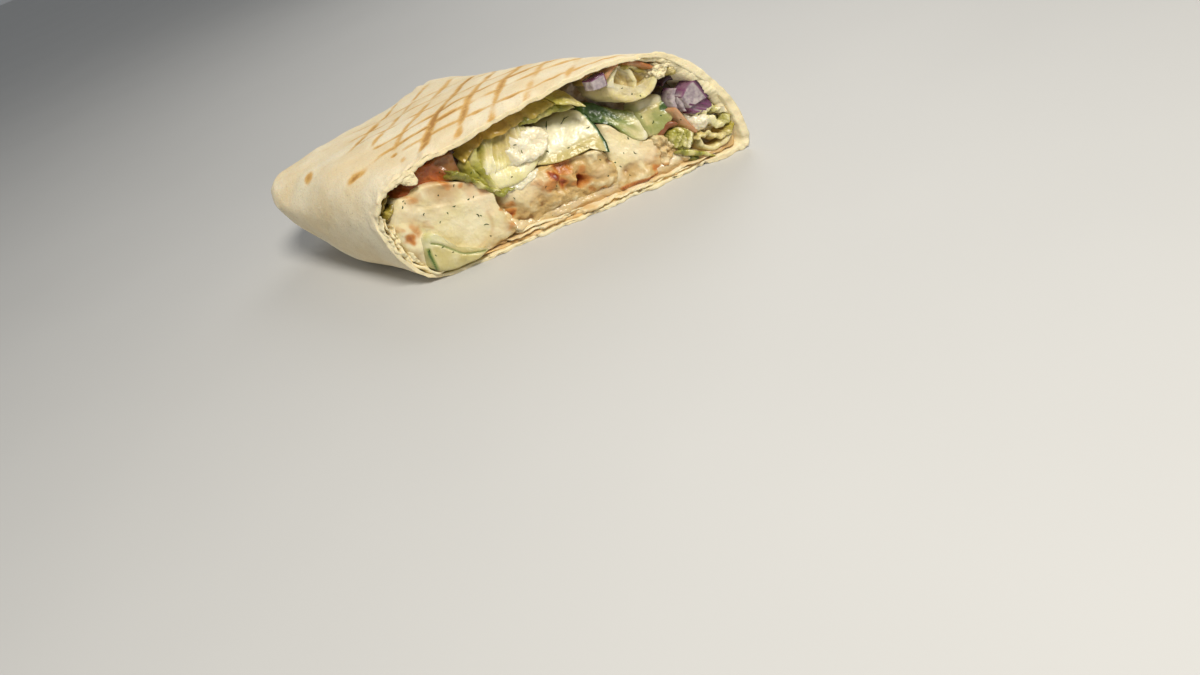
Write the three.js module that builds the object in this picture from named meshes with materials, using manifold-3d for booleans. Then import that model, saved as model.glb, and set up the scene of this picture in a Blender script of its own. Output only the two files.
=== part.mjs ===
/**
 * One half of a grilled halloumi wrap, cut on the slant and lying on its flat underside.
 *
 * A single wheat tortilla is rolled round its fillings. The sheet's first edge lies inside, under the
 * fillings, and runs along the bottom to the thin tip of the cut. There the sheet turns up, comes back
 * over the top and down the blunt end, and passes under its own first edge to a seam near the tip. Its
 * folded-in side lines the blunt end. The far end of the roll is tucked in and pressed shut.
 *
 * Every filling runs back from the cut along the roll. The dressing fills what is left between them.
 *
 * Millimetres, +Z up. The cut is a flat face towards -Y. Inside this file a place is given by x, the
 * distance along the cut from its blunt end, z, the height, and the distance back along the roll's axis.
 */
import * as THREE from 'three';
import { mergeVertices } from 'three/addons/utils/BufferGeometryUtils.js';
import Module from 'manifold-3d';

const wasm = await Module();
wasm.setup();

// The roll
const CUT_LENGTH = 112;
const ROLL_HEIGHT = 34;
const CROWN = 7.2;
const CROWN_SKEW = 1.45;
const CROWN_FADE = 1.3;
const AXIS_TURN = THREE.MathUtils.degToRad(55.3);
const SHORT_SIDE = 79;
const SQUARENESS = 2.3;

// The two ends of the cut's outline
const BLUNT_RADIUS = 16;
const BLUNT_CENTRE_HEIGHT = 20.4;
const TIP_TOP_RADIUS = 24;
const TIP_SQUARENESS = 2.05;
const TIP_RADIUS = 4.4;
const TIP_GROWTH = 7;

// The closed end
const END_SLANT = 0.06;
const END_CORNER = 19.3;
const END_LIFT = 15.5;
const END_DROP = 3.3;
const LIFT_START = 0.48;
const DROP_START = 0.3;
const ROUNDING_START = 0.93;
const END_WALL = 20;
const FILLINGS_CORNER = 12;
const TUCK_FROM = 30;
const TUCK_TO = 97;
const TUCK_DEPTH = 0.05;
const MOUTH_FROM = 60;
const MOUTH_HEIGHT = 7;

// The tortilla
const SHEET = 2;
const LAP_GAP = 0.9;
const LAP_FROM = 33;
const SEAM_AT = 97;
const FOLDED_SIDE = 1.7;
const FOLDED_SIDE_TOP = 24;

// Fits
const CLEARANCE = 0.35;
const PAST_CUT = -0.06;
const FREE_FRONT = -4;
const DRESSING_FRONT = 3.5;

const clamp01 = value => THREE.MathUtils.clamp(value, 0, 1);
const { smoothstep, lerp, degToRad } = THREE.MathUtils;


// --- The form of the roll -------------------------------------------------------------------------

// The roll's length along its axis, from a place on the cut to the closed end. The closed end lies nearly
// square to the axis and its corners are cut back by a distance.
function endWithCorners(x, corner) {
  const squareEnd = SHORT_SIDE + x * Math.cos(AXIS_TURN) + END_SLANT * (CUT_LENGTH / 2 - x);
  return squareEnd - corner * (2 * x / CUT_LENGTH - 1) ** 8;
}

const reach = x => endWithCorners(x, END_CORNER);
const endOfFillings = x => endWithCorners(x, FILLINGS_CORNER) - END_WALL;

// Towards the closed end the underside lifts and the top comes down. This is how far the underside has
// lifted and how high the roll still is, a share of the way along it.
function endShape(share) {
  const lift = END_LIFT * clamp01((share - LIFT_START) / (1 - LIFT_START)) ** 1.57;
  const drop = END_DROP * clamp01((share - DROP_START) / (1 - DROP_START));
  const squeeze = (ROLL_HEIGHT - lift - drop) / ROLL_HEIGHT;
  return { lift, squeeze, middle: lift + 0.55 * ROLL_HEIGHT * squeeze };
}

// The height that a point of the cut has settled to. The closed end's edge is rounded like a pillow's.
function settled(z, share) {
  const { lift, squeeze, middle } = endShape(share);
  const round = clamp01((share - ROUNDING_START) / (1 - ROUNDING_START));
  return middle + (lift + z * squeeze - middle) * Math.sqrt(1 - round * round);
}

const onAxis = (x, along, height) =>
  new THREE.Vector3(x - along * Math.cos(AXIS_TURN), along * Math.sin(AXIS_TURN), height);

const place = (x, z, along) => onAxis(x, along, settled(z, along / reach(x)));

// A quarter of a rounded box, between two angles in degrees, without its last point.
function roundQuarter(centreX, centreZ, radiusX, radiusZ, fromDegrees, steps, squareness = SQUARENESS) {
  return Array.from({ length: steps }, (_, step) => {
    const angle = degToRad(fromDegrees + 90 * step / steps);
    const power = 2 / squareness;
    const across = Math.sign(Math.cos(angle)) * Math.abs(Math.cos(angle)) ** power;
    const up = Math.sign(Math.sin(angle)) * Math.abs(Math.sin(angle)) ** power;
    return new THREE.Vector2(centreX + radiusX * across, centreZ + radiusZ * up);
  });
}

function straight(fromX, toX, z, steps) {
  return Array.from({ length: steps }, (_, step) => new THREE.Vector2(lerp(fromX, toX, step / steps), z));
}

// The outside of the roll where it is cut, going from the thin tip over the top to the blunt end and
// back underneath. Further along the roll the thin tip grows rounder and the crown sinks.
function outline(share) {
  const tip = TIP_RADIUS + TIP_GROWTH * clamp01(share * 1.5);
  const bluntCentre = BLUNT_CENTRE_HEIGHT;
  const points = [
    ...roundQuarter(CUT_LENGTH - TIP_TOP_RADIUS, tip, TIP_TOP_RADIUS, ROLL_HEIGHT - tip, 0, 9, TIP_SQUARENESS),
    ...straight(CUT_LENGTH - TIP_TOP_RADIUS, BLUNT_RADIUS, ROLL_HEIGHT, 8),
    ...roundQuarter(BLUNT_RADIUS, bluntCentre, BLUNT_RADIUS, ROLL_HEIGHT - bluntCentre, 90, 8),
    ...roundQuarter(BLUNT_RADIUS, bluntCentre, BLUNT_RADIUS, bluntCentre, 180, 9),
    ...straight(BLUNT_RADIUS, CUT_LENGTH - tip, 0, 8),
    ...roundQuarter(CUT_LENGTH - tip, tip, tip, tip, 270, 5),
  ];
  const crown = CROWN * (1 - CROWN_FADE * clamp01(share) ** 1.5);
  for (const point of points) {
    const upperHalf = clamp01(2 * point.y / ROLL_HEIGHT - 1);
    point.y += crown * upperHalf * Math.sin(Math.PI * clamp01(point.x / CUT_LENGTH) ** CROWN_SKEW);
  }
  return points;
}

// Moves each point of a loop inwards by its own distance, or outwards where that is negative.
function inset(points, distanceAt) {
  return points.map((point, index) => {
    const before = points[(index + points.length - 1) % points.length];
    const after = points[(index + 1) % points.length];
    const run = after.clone().sub(before).normalize();
    const inwards = new THREE.Vector2(-run.y, run.x);
    return point.clone().addScaledVector(inwards, distanceAt(point));
  });
}

// The sheet is doubled under the fillings, and thicker at the blunt end where its side was folded in.
function wallThickness(point) {
  const below = point.y < ROLL_HEIGHT / 3 ? 1 : 0;
  const lapStart = smoothstep(point.x, LAP_FROM - 2, LAP_FROM + 2);
  const lapEnd = 1 - smoothstep(point.x, SEAM_AT - 3, SEAM_AT + 7);
  const atBluntEnd = 1 - smoothstep(point.x, BLUNT_RADIUS / 2, BLUNT_RADIUS);
  const belowSideTop = 1 - smoothstep(point.y, FOLDED_SIDE_TOP - 2, FOLDED_SIDE_TOP + 2);
  return SHEET + (SHEET + LAP_GAP) * below * lapStart * lapEnd + FOLDED_SIDE * atBluntEnd * belowSideTop;
}


// --- Solids ---------------------------------------------------------------------------------------

function toSolid(geometry) {
  const positions = geometry.clone();
  positions.deleteAttribute('normal');
  positions.deleteAttribute('uv');
  const merged = mergeVertices(positions, 1e-4);
  return new wasm.Manifold(new wasm.Mesh({
    numProp: 3,
    vertProperties: new Float32Array(merged.attributes.position.array),
    triVerts: new Uint32Array(merged.index.array),
  }));
}

// Joins a stack of rings, each the same loop of points further back, and closes both its ends.
function solidFromRings(rings) {
  const count = rings[0].length;
  const corners = [];
  for (let ring = 0; ring + 1 < rings.length; ring++) {
    for (let index = 0; index < count; index++) {
      const near = ring * count + index;
      const nearNext = ring * count + (index + 1) % count;
      corners.push(near, near + count, nearNext + count, near, nearNext + count, nearNext);
    }
  }
  // The ends are triangulated on a slightly bowed copy, where no point lies in line with its neighbours.
  const bowed = point => new THREE.Vector2(point.x, point.z + 1e-4 * point.x ** 2);
  const endOf = ring => THREE.ShapeUtils.triangulateShape(ring.map(bowed), []);
  const last = (rings.length - 1) * count;
  for (const [a, b, c] of endOf(rings[0])) {
    corners.push(a, b, c);
  }
  for (const [a, b, c] of endOf(rings[rings.length - 1])) {
    corners.push(last + c, last + b, last + a);
  }
  const geometry = new THREE.BufferGeometry();
  geometry.setFromPoints(rings.flat());
  geometry.setIndex(corners);
  return toSolid(geometry);
}

// Stands a section at each share of the way back to an end, whose distance from the cut is known for
// every place along the cut.
function loft(shares, sectionAt, endAt) {
  return solidFromRings(shares.map(share =>
    sectionAt(share).map(point => place(point.x, point.y, share * endAt(point.x)))));
}

function largestPiece(solid) {
  const pieces = solid.decompose();
  return pieces.reduce((best, piece) => (piece.volume() > best.volume() ? piece : best));
}

function toMesh(name, solid, look) {
  const { vertProperties, triVerts } = solid.getMesh();
  const geometry = new THREE.BufferGeometry();
  geometry.setAttribute('position', new THREE.BufferAttribute(vertProperties, 3));
  geometry.setIndex(new THREE.BufferAttribute(triVerts, 1));
  geometry.computeVertexNormals();
  const mesh = new THREE.Mesh(geometry, new THREE.MeshStandardMaterial(look));
  mesh.name = name;
  return mesh;
}


// --- The tortilla ---------------------------------------------------------------------------------

// The inside of the tortilla, or the room for the fillings, which is smaller by a clearance all round
// and by more at the closed end, where the corners slope.
function insideOfRoll(clearance) {
  const section = share => inset(outline(share), point => wallThickness(point) + clearance);
  return loft([PAST_CUT, 0.2, 0.4, 0.56, 0.7, 0.85, 1], section, x => endOfFillings(x) - 4 * clearance);
}

// The gap between the two thicknesses of the sheet. It is open at the cut, at the sheet's first edge
// inside and at the seam underneath.
function lapGap() {
  const section = [
    [LAP_FROM - 4, SHEET + LAP_GAP], [LAP_FROM - 4, SHEET - 0.1], [SEAM_AT - 1, SHEET], [SEAM_AT, -1],
    [SEAM_AT + 1.2, -1], [SEAM_AT + 0.4, SHEET + LAP_GAP], [LAP_FROM + 20, SHEET + LAP_GAP + 0.1],
  ].map(([x, z]) => new THREE.Vector2(x, z));
  return loft([PAST_CUT, 0.2, 0.4, 0.56, 0.7, 0.85], () => section, endOfFillings);
}

// The slit in the closed end where the sheet's sides were tucked in. It widens to a mouth at one corner.
function tuck() {
  const steps = 13;
  return solidFromRings([1 - TUCK_DEPTH, 1 - TUCK_DEPTH / 2, 1, 1.03].map(share => {
    const opened = smoothstep(share, 1 - 1.2 * TUCK_DEPTH, 1);
    const side = sign => Array.from({ length: steps }, (_, step) => {
      const x = lerp(TUCK_FROM, TUCK_TO, step / (steps - 1));
      const alongMouth = clamp01((x - MOUTH_FROM) / (TUCK_TO - MOUTH_FROM));
      const halfHeight = 0.45 + opened * MOUTH_HEIGHT / 2 * Math.sin(Math.PI * alongMouth);
      return onAxis(x, share * reach(x), endShape(share).middle + sign * halfHeight);
    });
    return [...side(1).reverse(), ...side(-1)];
  }));
}

function rolledTortilla() {
  const rounding = [0, 0.35, 0.6, 0.8, 0.93, 0.985].map(part => lerp(ROUNDING_START, 1, part));
  const outside = loft([0, 0.15, 0.3, 0.42, 0.52, 0.62, 0.72, 0.83, ...rounding], outline, reach);
  return outside.subtract(insideOfRoll(0)).subtract(lapGap()).subtract(tuck());
}


// --- The fillings' sections -----------------------------------------------------------------------

// A slice or stick with rounded corners. Its squareness is 2 for an oval and more for a box.
function slice(width, height, squareness, steps = 14) {
  return Array.from({ length: steps }, (_, step) => {
    const angle = 2 * Math.PI * (step + 0.5) / steps;
    const power = 2 / squareness;
    const across = Math.sign(Math.cos(angle)) * Math.abs(Math.cos(angle)) ** power;
    const up = Math.sign(Math.sin(angle)) * Math.abs(Math.sin(angle)) ** power;
    return new THREE.Vector2(width / 2 * across, height / 2 * up);
  });
}

// A round vegetable's slice cut off by a straight chord, with the chord to the left.
function halfMoon(radius, chordAt, steps = 11) {
  const open = Math.acos(chordAt / radius);
  return Array.from({ length: steps }, (_, step) => {
    const angle = lerp(-open, open, step / (steps - 1));
    return new THREE.Vector2(radius * Math.cos(angle) - (radius + chordAt) / 2, radius * Math.sin(angle));
  });
}

// A wedge with its point towards the right and a slightly bowed back.
function wedge(length, height) {
  return [[0.5, -0.42], [0.1, 0.02], [-0.3, 0.44], [-0.44, 0.5], [-0.5, 0.1], [-0.46, -0.34], [0, -0.5]]
    .map(([x, z]) => new THREE.Vector2(x * length, z * height));
}

// A leaf seen on edge: a band of even thickness along a curve through a few places.
function leaf(places, thickness, steps = 9) {
  const curve = new THREE.SplineCurve(places.map(([x, z]) => new THREE.Vector2(x, z)));
  const band = Array.from({ length: steps }, (_, step) => step / (steps - 1)).map(part => {
    const run = curve.getTangent(part);
    const half = thickness / 2 * (0.45 + 0.55 * Math.sin(Math.PI * lerp(0.12, 0.88, part)));
    return { middle: curve.getPoint(part), across: new THREE.Vector2(-run.y, run.x).multiplyScalar(half) };
  });
  const one = band.map(({ middle, across }) => middle.clone().sub(across));
  const other = band.map(({ middle, across }) => middle.clone().add(across)).reverse();
  return [...one, ...other];
}

function turned(points, degrees, x, z) {
  const centre = new THREE.Vector2(0, 0);
  return points.map(p => p.clone().rotateAround(centre, degToRad(degrees)).add(new THREE.Vector2(x, z)));
}


// --- The fillings ---------------------------------------------------------------------------------

const HALLOUMI = { color: 0xefe6c4, roughness: 0.5, metalness: 0 };
const CUCUMBER = { color: 0xd9e0a8, roughness: 0.35, metalness: 0 };
const TOMATO = { color: 0xb5502c, roughness: 0.35, metalness: 0 };
const LETTUCE = { color: 0xc3c76a, roughness: 0.45, metalness: 0 };
const ONION = { color: 0x6b3a63, roughness: 0.3, metalness: 0 };
const CARROT = { color: 0xe39a5e, roughness: 0.5, metalness: 0 };
const DRESSING = { color: 0xede3bd, roughness: 0.3, metalness: 0 };
const TORTILLA = { color: 0xe9dcb4, roughness: 0.75, metalness: 0 };

// front is how far behind the cut a piece starts, in millimetres, and lean is how much further back
// that is for each millimetre up. A piece without a length runs to the end of the space. Each piece
// keeps clear of those above it in this list.
const FILLINGS = [
  // Proud of the cut
  { name: 'cucumber_wedge', look: CUCUMBER, front: -2.4, lean: 0.1, length: 46,
    section: turned(wedge(20.5, 14.5), 0, 20.6, 9.6) },
  { name: 'cucumber_front', look: CUCUMBER, front: -1.4, lean: 0.85, length: 32,
    section: turned(slice(21.5, 10.6, 2.7), -7, 61, 23.4) },
  // Small pieces
  { name: 'onion_cube', look: ONION, front: 0.3, length: 9,
    section: turned(slice(5, 4.4, 6, 10), 3, 75, 36.4) },
  { name: 'onion_chunk', look: ONION, front: 0.9, length: 11,
    section: turned(slice(7.6, 9.6, 4.5, 10), 22, 100, 20.4) },
  { name: 'onion_layer', look: ONION, front: 3.2, length: 10,
    section: leaf([[95.2, 18.6], [93.6, 23], [95.4, 27.6]], 1.8, 5) },
  { name: 'carrot_1', look: CARROT, front: 1.4, length: 14,
    section: turned(slice(5.4, 1.9, 3, 8), 6, 80.4, 37.3) },
  { name: 'carrot_2', look: CARROT, front: 2.8, length: 12,
    section: turned(slice(4.6, 2.8, 3, 8), -12, 90, 15.6) },
  { name: 'carrot_3', look: CARROT, front: 1.4, length: 15,
    section: turned(slice(2, 8, 3, 8), 16, 95.8, 14.8) },
  { name: 'carrot_4', look: CARROT, front: 1.4, length: 12,
    section: turned(slice(6.4, 1.8, 3, 8), -24, 88.2, 36.6) },
  { name: 'lettuce_dark_leaf', look: LETTUCE, front: 0.4, length: 20,
    section: leaf([[27, 30.4], [31, 28], [33.8, 23]], 1.9, 5) },
  { name: 'lettuce_shred', look: LETTUCE, front: 3.6, length: 22,
    section: leaf([[4, 20.6], [5, 24.6], [8.4, 27]], 2, 5) },
  { name: 'lettuce_rib', look: LETTUCE, front: 1, length: 22,
    section: turned(slice(5, 6, 2.4, 8), 20, 93.4, 10.6) },
  { name: 'lettuce_under_rib', look: LETTUCE, front: 0.3, length: 26,
    section: leaf([[92.6, 6.8], [96.6, 5.4], [101, 4]], 1.6, 5) },
  { name: 'lettuce_tip_curl', look: LETTUCE, front: 0.8, length: 28,
    section: leaf([[97.6, 13.4], [101.4, 11], [105, 13], [107.6, 10], [105.4, 6.6], [100.4, 7.4]], 2, 13) },
  // The body of the filling
  { name: 'halloumi_blunt_end', look: HALLOUMI, front: 0.9,
    section: turned(slice(32, 26.4, 3.2), -7, 20.4, 16.2) },
  { name: 'halloumi_middle', look: HALLOUMI, front: 1.5,
    section: turned(slice(35, 13, 3), 1, 53.4, 12.6) },
  { name: 'halloumi_tip_side', look: HALLOUMI, front: 1.3,
    section: turned(slice(14, 18, 2.8), 18, 78.2, 13.4) },
  { name: 'halloumi_end', look: HALLOUMI, front: 2.4,
    section: turned(slice(6.6, 9.4, 2.8, 10), 6, 88.6, 9.8) },
  { name: 'cucumber_behind', look: CUCUMBER, front: 2, lean: 0.5,
    section: turned(slice(16, 10, 3), -44, 76.8, 24.4) },
  { name: 'cucumber_tip_side', look: CUCUMBER, front: 2.6, lean: 0.35,
    section: turned(halfMoon(8, -3), 0, 88.6, 20.4) },
  { name: 'tomato', look: TOMATO, front: 4.6,
    section: leaf([[7, 26.8], [13, 30.6], [21, 32], [30, 32.6]], 3.6, 7) },
  { name: 'lettuce_heart', look: LETTUCE, front: 0.5, lean: 0.45,
    section: turned(slice(13.5, 13, 2.4, 12), 4, 40.8, 24.6) },
  { name: 'lettuce_top_leaf', look: LETTUCE, front: 2.2, lean: 0.3,
    section: leaf([[32.6, 31], [39, 33.6], [50, 35.2], [60, 35.8], [69.6, 32.8]], 3) },
  { name: 'lettuce_curled_leaf', look: LETTUCE, front: 1.2, length: 24,
    section: leaf([[78, 35.8], [76.4, 31.6], [82.4, 28.4], [89.4, 30.4], [90.6, 34], [86.4, 35.4]],
      2.3, 11) },
];

// Free spaces behind the cut, where the top sheet bulges away from the fillings.
const HOLLOWS = [
  { section: turned(slice(11, 6, 2.4, 8), 34, 8.4, 27.6), front: -2, length: 11 },
  { section: turned(slice(15, 8, 2.4, 8), -26, 97.6, 28.4), front: -2, length: 12 },
];

// Runs a section back along the roll, starting from where its front face is. The edge round the front
// is softened. Given a clearance, it makes the room to keep free round the piece and before its face.
function sweep({ section, front, lean = 0, length, clearance = 0 }) {
  const lowest = Math.min(...section.map(point => point.y));
  const faceAt = point => (front + lean * (point.y - lowest)) / Math.sin(AXIS_TURN);
  const startAt = point => (clearance ? FREE_FRONT : faceAt(point));
  const softeningAt = point => (clearance ? FREE_FRONT + 1 : faceAt(point) + 1);
  const endAt = point => (length ? faceAt(point) + length : endOfFillings(point.x)) + 2 * clearance;
  const middleAt = point => lerp(faceAt(point), endAt(point), 0.58);
  const rows = length ? [startAt, softeningAt, endAt] : [startAt, softeningAt, middleAt, endAt];
  return solidFromRings(rows.map((along, row) => {
    const grown = inset(section, () => (row === 0 && !clearance ? 0.5 : -clearance));
    return grown.map(point => place(point.x + faceAt(point) * Math.cos(AXIS_TURN), point.y, along(point)));
  }));
}

const room = insideOfRoll(CLEARANCE);
const tortilla = rolledTortilla();
const roll = new THREE.Group();
roll.add(toMesh('tortilla', tortilla, TORTILLA));

let taken = null;
for (const filling of FILLINGS) {
  const piece = sweep(filling).intersect(room);
  const cleared = largestPiece(taken ? piece.subtract(taken) : piece);
  roll.add(toMesh(filling.name, cleared, filling.look));
  const grown = sweep({ ...filling, clearance: CLEARANCE });
  taken = taken ? taken.add(grown) : grown;
}

const dressingFront = loft([PAST_CUT, 0], () => inset(outline(0), () => -5), reach)
  .translate([-DRESSING_FRONT / Math.tan(AXIS_TURN), DRESSING_FRONT, 0]);
const hollows = HOLLOWS.map(sweep).reduce((sum, hollow) => sum.add(hollow));
const dressing = largestPiece(room.subtract(dressingFront).subtract(taken).subtract(hollows));
roll.add(toMesh('dressing', dressing, DRESSING));

// The origin is under the middle of the whole piece.
const box = new THREE.Box3().setFromObject(roll);
const middle = box.getCenter(new THREE.Vector3());
roll.position.set(-middle.x, -middle.y, -box.min.z);

const halloumiWrap = new THREE.Group();
halloumiWrap.add(roll);

export default halloumiWrap;
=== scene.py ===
import math

import bmesh
import bpy
import numpy as np
from mathutils import Matrix, Vector, noise
from mathutils.bvhtree import BVHTree


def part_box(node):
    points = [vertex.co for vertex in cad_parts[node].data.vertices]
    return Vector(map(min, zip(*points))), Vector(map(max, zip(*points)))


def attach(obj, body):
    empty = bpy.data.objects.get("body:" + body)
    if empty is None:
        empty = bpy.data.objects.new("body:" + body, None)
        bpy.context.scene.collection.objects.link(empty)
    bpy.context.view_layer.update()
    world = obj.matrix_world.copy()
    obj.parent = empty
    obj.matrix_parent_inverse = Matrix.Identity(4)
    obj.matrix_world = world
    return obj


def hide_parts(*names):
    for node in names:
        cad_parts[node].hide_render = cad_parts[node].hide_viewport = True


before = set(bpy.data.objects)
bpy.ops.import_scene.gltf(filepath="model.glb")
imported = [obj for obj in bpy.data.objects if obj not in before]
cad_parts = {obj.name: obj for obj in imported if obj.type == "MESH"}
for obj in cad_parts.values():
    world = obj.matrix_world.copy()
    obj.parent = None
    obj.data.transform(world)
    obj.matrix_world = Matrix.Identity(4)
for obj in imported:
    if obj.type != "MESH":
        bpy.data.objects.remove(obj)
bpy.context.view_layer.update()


# --- The table, the light and the view ---
# A pale matt table top under one large soft light from in front and above, with a weaker one behind.
# The wrap is seen from in front of its cut, from about a third of the way up, with the head tilted.

MM = 0.001
CUT_LENGTH = 112
BLUNT_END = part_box("tortilla")[1].x - CUT_LENGTH * MM
CUT_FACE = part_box("tortilla")[0].y

TABLE = 6.0
table = bpy.data.objects.new("table_top", bpy.data.meshes.new("table_top"))
corners = [(x * TABLE / 2, y * TABLE / 2, 0) for x, y in ((-1, -1), (1, -1), (1, 1), (-1, 1))]
table.data.from_pydata(corners, [], [(0, 1, 2, 3)])
bpy.context.scene.collection.objects.link(table)


def rgb(code):
    """A colour from its usual six-figure code."""
    parts = (int(code[i:i + 2], 16) / 255 for i in (1, 3, 5))
    return tuple(p / 12.92 if p <= 0.04045 else ((p + 0.055) / 1.055) ** 2.4 for p in parts)


class Shade:
    """One output of a shader node. Arithmetic on it adds the node that works it out."""

    def __init__(self, tree, socket):
        self.tree, self.socket = tree, socket

    def node(self, kind, settings, values, out=0):
        """Adds a node: its settings come first, then the values and links of its sockets."""
        made = self.tree.nodes.new("ShaderNode" + kind)
        for key, value in settings.items():
            setattr(made, key, value)
        for key, value in values.items():
            if isinstance(value, Shade):
                self.tree.links.new(value.socket, made.inputs[key])
            else:
                made.inputs[key].default_value = value
        return Shade(self.tree, made.outputs[out])

    def math(self, operation, *others):
        values = dict(enumerate((self, *others)))
        return self.node("Math", {"operation": operation}, values)

    def __add__(self, other):
        return self.math("ADD", other)

    def __sub__(self, other):
        return self.math("SUBTRACT", other)

    def __mul__(self, other):
        return self.math("MULTIPLY", other)

    def __truediv__(self, other):
        return self.math("DIVIDE", other)

    def between(self, low, high):
        """0 below low and 1 above high, with a smooth step between. low may be the larger one."""
        settings = {"interpolation_type": "SMOOTHSTEP"}
        return self.node("MapRange", settings, {"Value": self, "From Min": low, "From Max": high})

    def tint(self, start, end):
        """A colour mixed from start to end as this value goes from 0 to 1. Either may be a code."""
        start, end = (rgb(c) if isinstance(c, str) else c for c in (start, end))
        start, end = (c if isinstance(c, Shade) else (*c, 1) for c in (start, end))
        settings = {"data_type": "RGBA", "clamp_factor": True}
        return self.node("Mix", settings, {0: self, 6: start, 7: end}, out=2)


class Finish:
    """A material: its surface shader, and the nodes that feed it."""

    def __init__(self, name, **surface):
        self.material = bpy.data.materials.new(name)
        self.material.use_nodes = True
        self.tree = self.material.node_tree
        self.shader = self.tree.nodes["Principled BSDF"]
        for key, value in surface.items():
            self.shader.inputs[key.replace("_", " ")].default_value = value
        place = self.tree.nodes.new("ShaderNodeNewGeometry")
        self.position = Shade(self.tree, place.outputs["Position"])
        self.behind = (self.position.node("SeparateXYZ", {}, {0: self.position}, out=1) - CUT_FACE) / MM

    def spread(self, size, stretch=(1, 1, 1)):
        """The place on the surface, counted in steps of size millimetres."""
        scale = tuple(s / (size * MM) for s in stretch)
        return self.position.node("VectorMath", {"operation": "MULTIPLY"}, {0: self.position, 1: scale})

    def grain(self, size, detail=3.0, roughness=0.5, stretch=(1, 1, 1)):
        """Cloudy unevenness from about 0 to 1, whose patches are about size millimetres across."""
        values = {"Scale": 1.0, "Detail": detail, "Roughness": roughness}
        return self.position.node("TexNoise", {}, {"Vector": self.spread(size, stretch), **values})

    def spots(self, size):
        """The distance from scattered points, about size millimetres apart, as a share of that."""
        return self.position.node("TexVoronoi", {}, {"Vector": self.spread(size), "Scale": 1.0})

    def painted(self, name):
        """A value that the piece's own mesh carries at each of its points."""
        made = self.tree.nodes.new("ShaderNodeAttribute")
        made.attribute_name = name
        return Shade(self.tree, made.outputs["Fac"])

    def hollow(self, colour, shade, start, end, most):
        """Painted shade: deepens a colour towards a shade between two distances behind the cut, in
        millimetres.
        """
        return (self.behind.between(start, end) * most).tint(colour, shade)

    def wear(self, colour, relief=None, depth=0.2):
        """Joins what varies over the surface to the shader. Relief is in units of depth millimetres."""
        self.tree.links.new(colour.socket, self.shader.inputs["Base Color"])
        if relief:
            values = {"Height": relief, "Distance": depth * MM, "Strength": 1.0}
            self.tree.links.new(relief.node("Bump", {}, values).socket, self.shader.inputs["Normal"])
        return self.material


table_finish = Finish("table_top", Roughness=0.6)
soft_grain = table_finish.grain(90, detail=2)
table.data.materials.append(table_finish.wear(soft_grain.tint((0.60, 0.60, 0.59), (0.64, 0.64, 0.63))))


def soft_light(name, place, size, watts, warmth):
    """A round lamp, aimed at the middle of the wrap."""
    lamp = bpy.data.lights.new(name, "AREA")
    lamp.shape, lamp.size, lamp.energy, lamp.color = "DISK", size, watts, warmth
    holder = bpy.data.objects.new(name, lamp)
    holder.location = place
    holder.rotation_euler = (Vector((0, 0, 0.02)) - Vector(place)).to_track_quat("-Z", "Y").to_euler()
    bpy.context.scene.collection.objects.link(holder)


soft_light("main_light", (0.15, -0.45, 0.58), 0.24, 4.7, (1, 0.95, 0.86))
soft_light("back_light", (0.20, 0.42, 0.40), 0.4, 0.8, (1, 0.97, 0.92))

sky = bpy.data.worlds.new("pale_room")
sky.use_nodes = True
daylight = sky.node_tree.nodes["Background"].inputs
daylight["Color"].default_value = (0.94, 0.97, 1, 1)
daylight["Strength"].default_value = 0.22
bpy.context.scene.world = sky
bpy.context.scene.view_settings.view_transform = "Standard"

AZIMUTH, ELEVATION, HEAD_TILT = (math.radians(angle) for angle in (-1.0, 32.2, -23.7))
VIEW_DISTANCE = 0.284
RIGHT_OF_CUT, BELOW_CUT = 5.4, 35.7
LENS, SENSOR = 28.2, 36
CUT_MIDDLE = Vector((BLUNT_END + CUT_LENGTH / 2 * MM, CUT_FACE, 0))

forward = Vector((math.sin(AZIMUTH) * math.cos(ELEVATION), math.cos(AZIMUTH) * math.cos(ELEVATION),
                  -math.sin(ELEVATION)))
level_right = forward.cross(Vector((0, 0, 1))).normalized()
level_up = level_right.cross(forward)
right = level_right * math.cos(HEAD_TILT) + level_up * math.sin(HEAD_TILT)
up = level_up * math.cos(HEAD_TILT) - level_right * math.sin(HEAD_TILT)
aim = CUT_MIDDLE + right * RIGHT_OF_CUT * MM - up * BELOW_CUT * MM

camera = bpy.data.objects.new("camera", bpy.data.cameras.new("camera"))
camera.data.lens, camera.data.sensor_width = LENS, SENSOR
camera.data.clip_start = 0.01
facing = Matrix((right, up, -forward)).transposed().to_4x4()
camera.matrix_world = Matrix.Translation(aim - forward * VIEW_DISTANCE) @ facing
bpy.context.scene.collection.objects.link(camera)
bpy.context.scene.camera = camera


# --- The tortilla ---
# One soft wheat flatbread, rolled round the fillings and pressed in a ridged griddle. Its sheet goes
# once round the outside, and its first edge lies double under the fillings. One side is folded in at
# the blunt end, and the far end is tucked in and pressed shut.

ROLL_HEIGHT = 34
CROWN, CROWN_SKEW, CROWN_FADE = 7.2, 1.45, 1.3
AXIS_TURN = math.radians(55.3)
SHORT_SIDE, END_SLANT = 79, 0.06
SQUARENESS, TIP_SQUARENESS = 2.3, 2.05
BLUNT_RADIUS, BLUNT_CENTRE_HEIGHT = 16, 20.4
CLOSING_HEIGHT = 0.55 * ROLL_HEIGHT
TIP_TOP_RADIUS, TIP_RADIUS, TIP_GROWTH = 24, 4.4, 7
END_CORNER, FILLINGS_CORNER = 19.3, 12
END_LIFT, END_DROP, END_WALL = 15.5, 3.3, 20
LIFT_START, DROP_START, ROUNDING_START = 0.48, 0.3, 0.93
MOUTH_FROM, MOUTH_TO, MOUTH_HEIGHT = 60, 97, 6
SEAM_AT = 97


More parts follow.
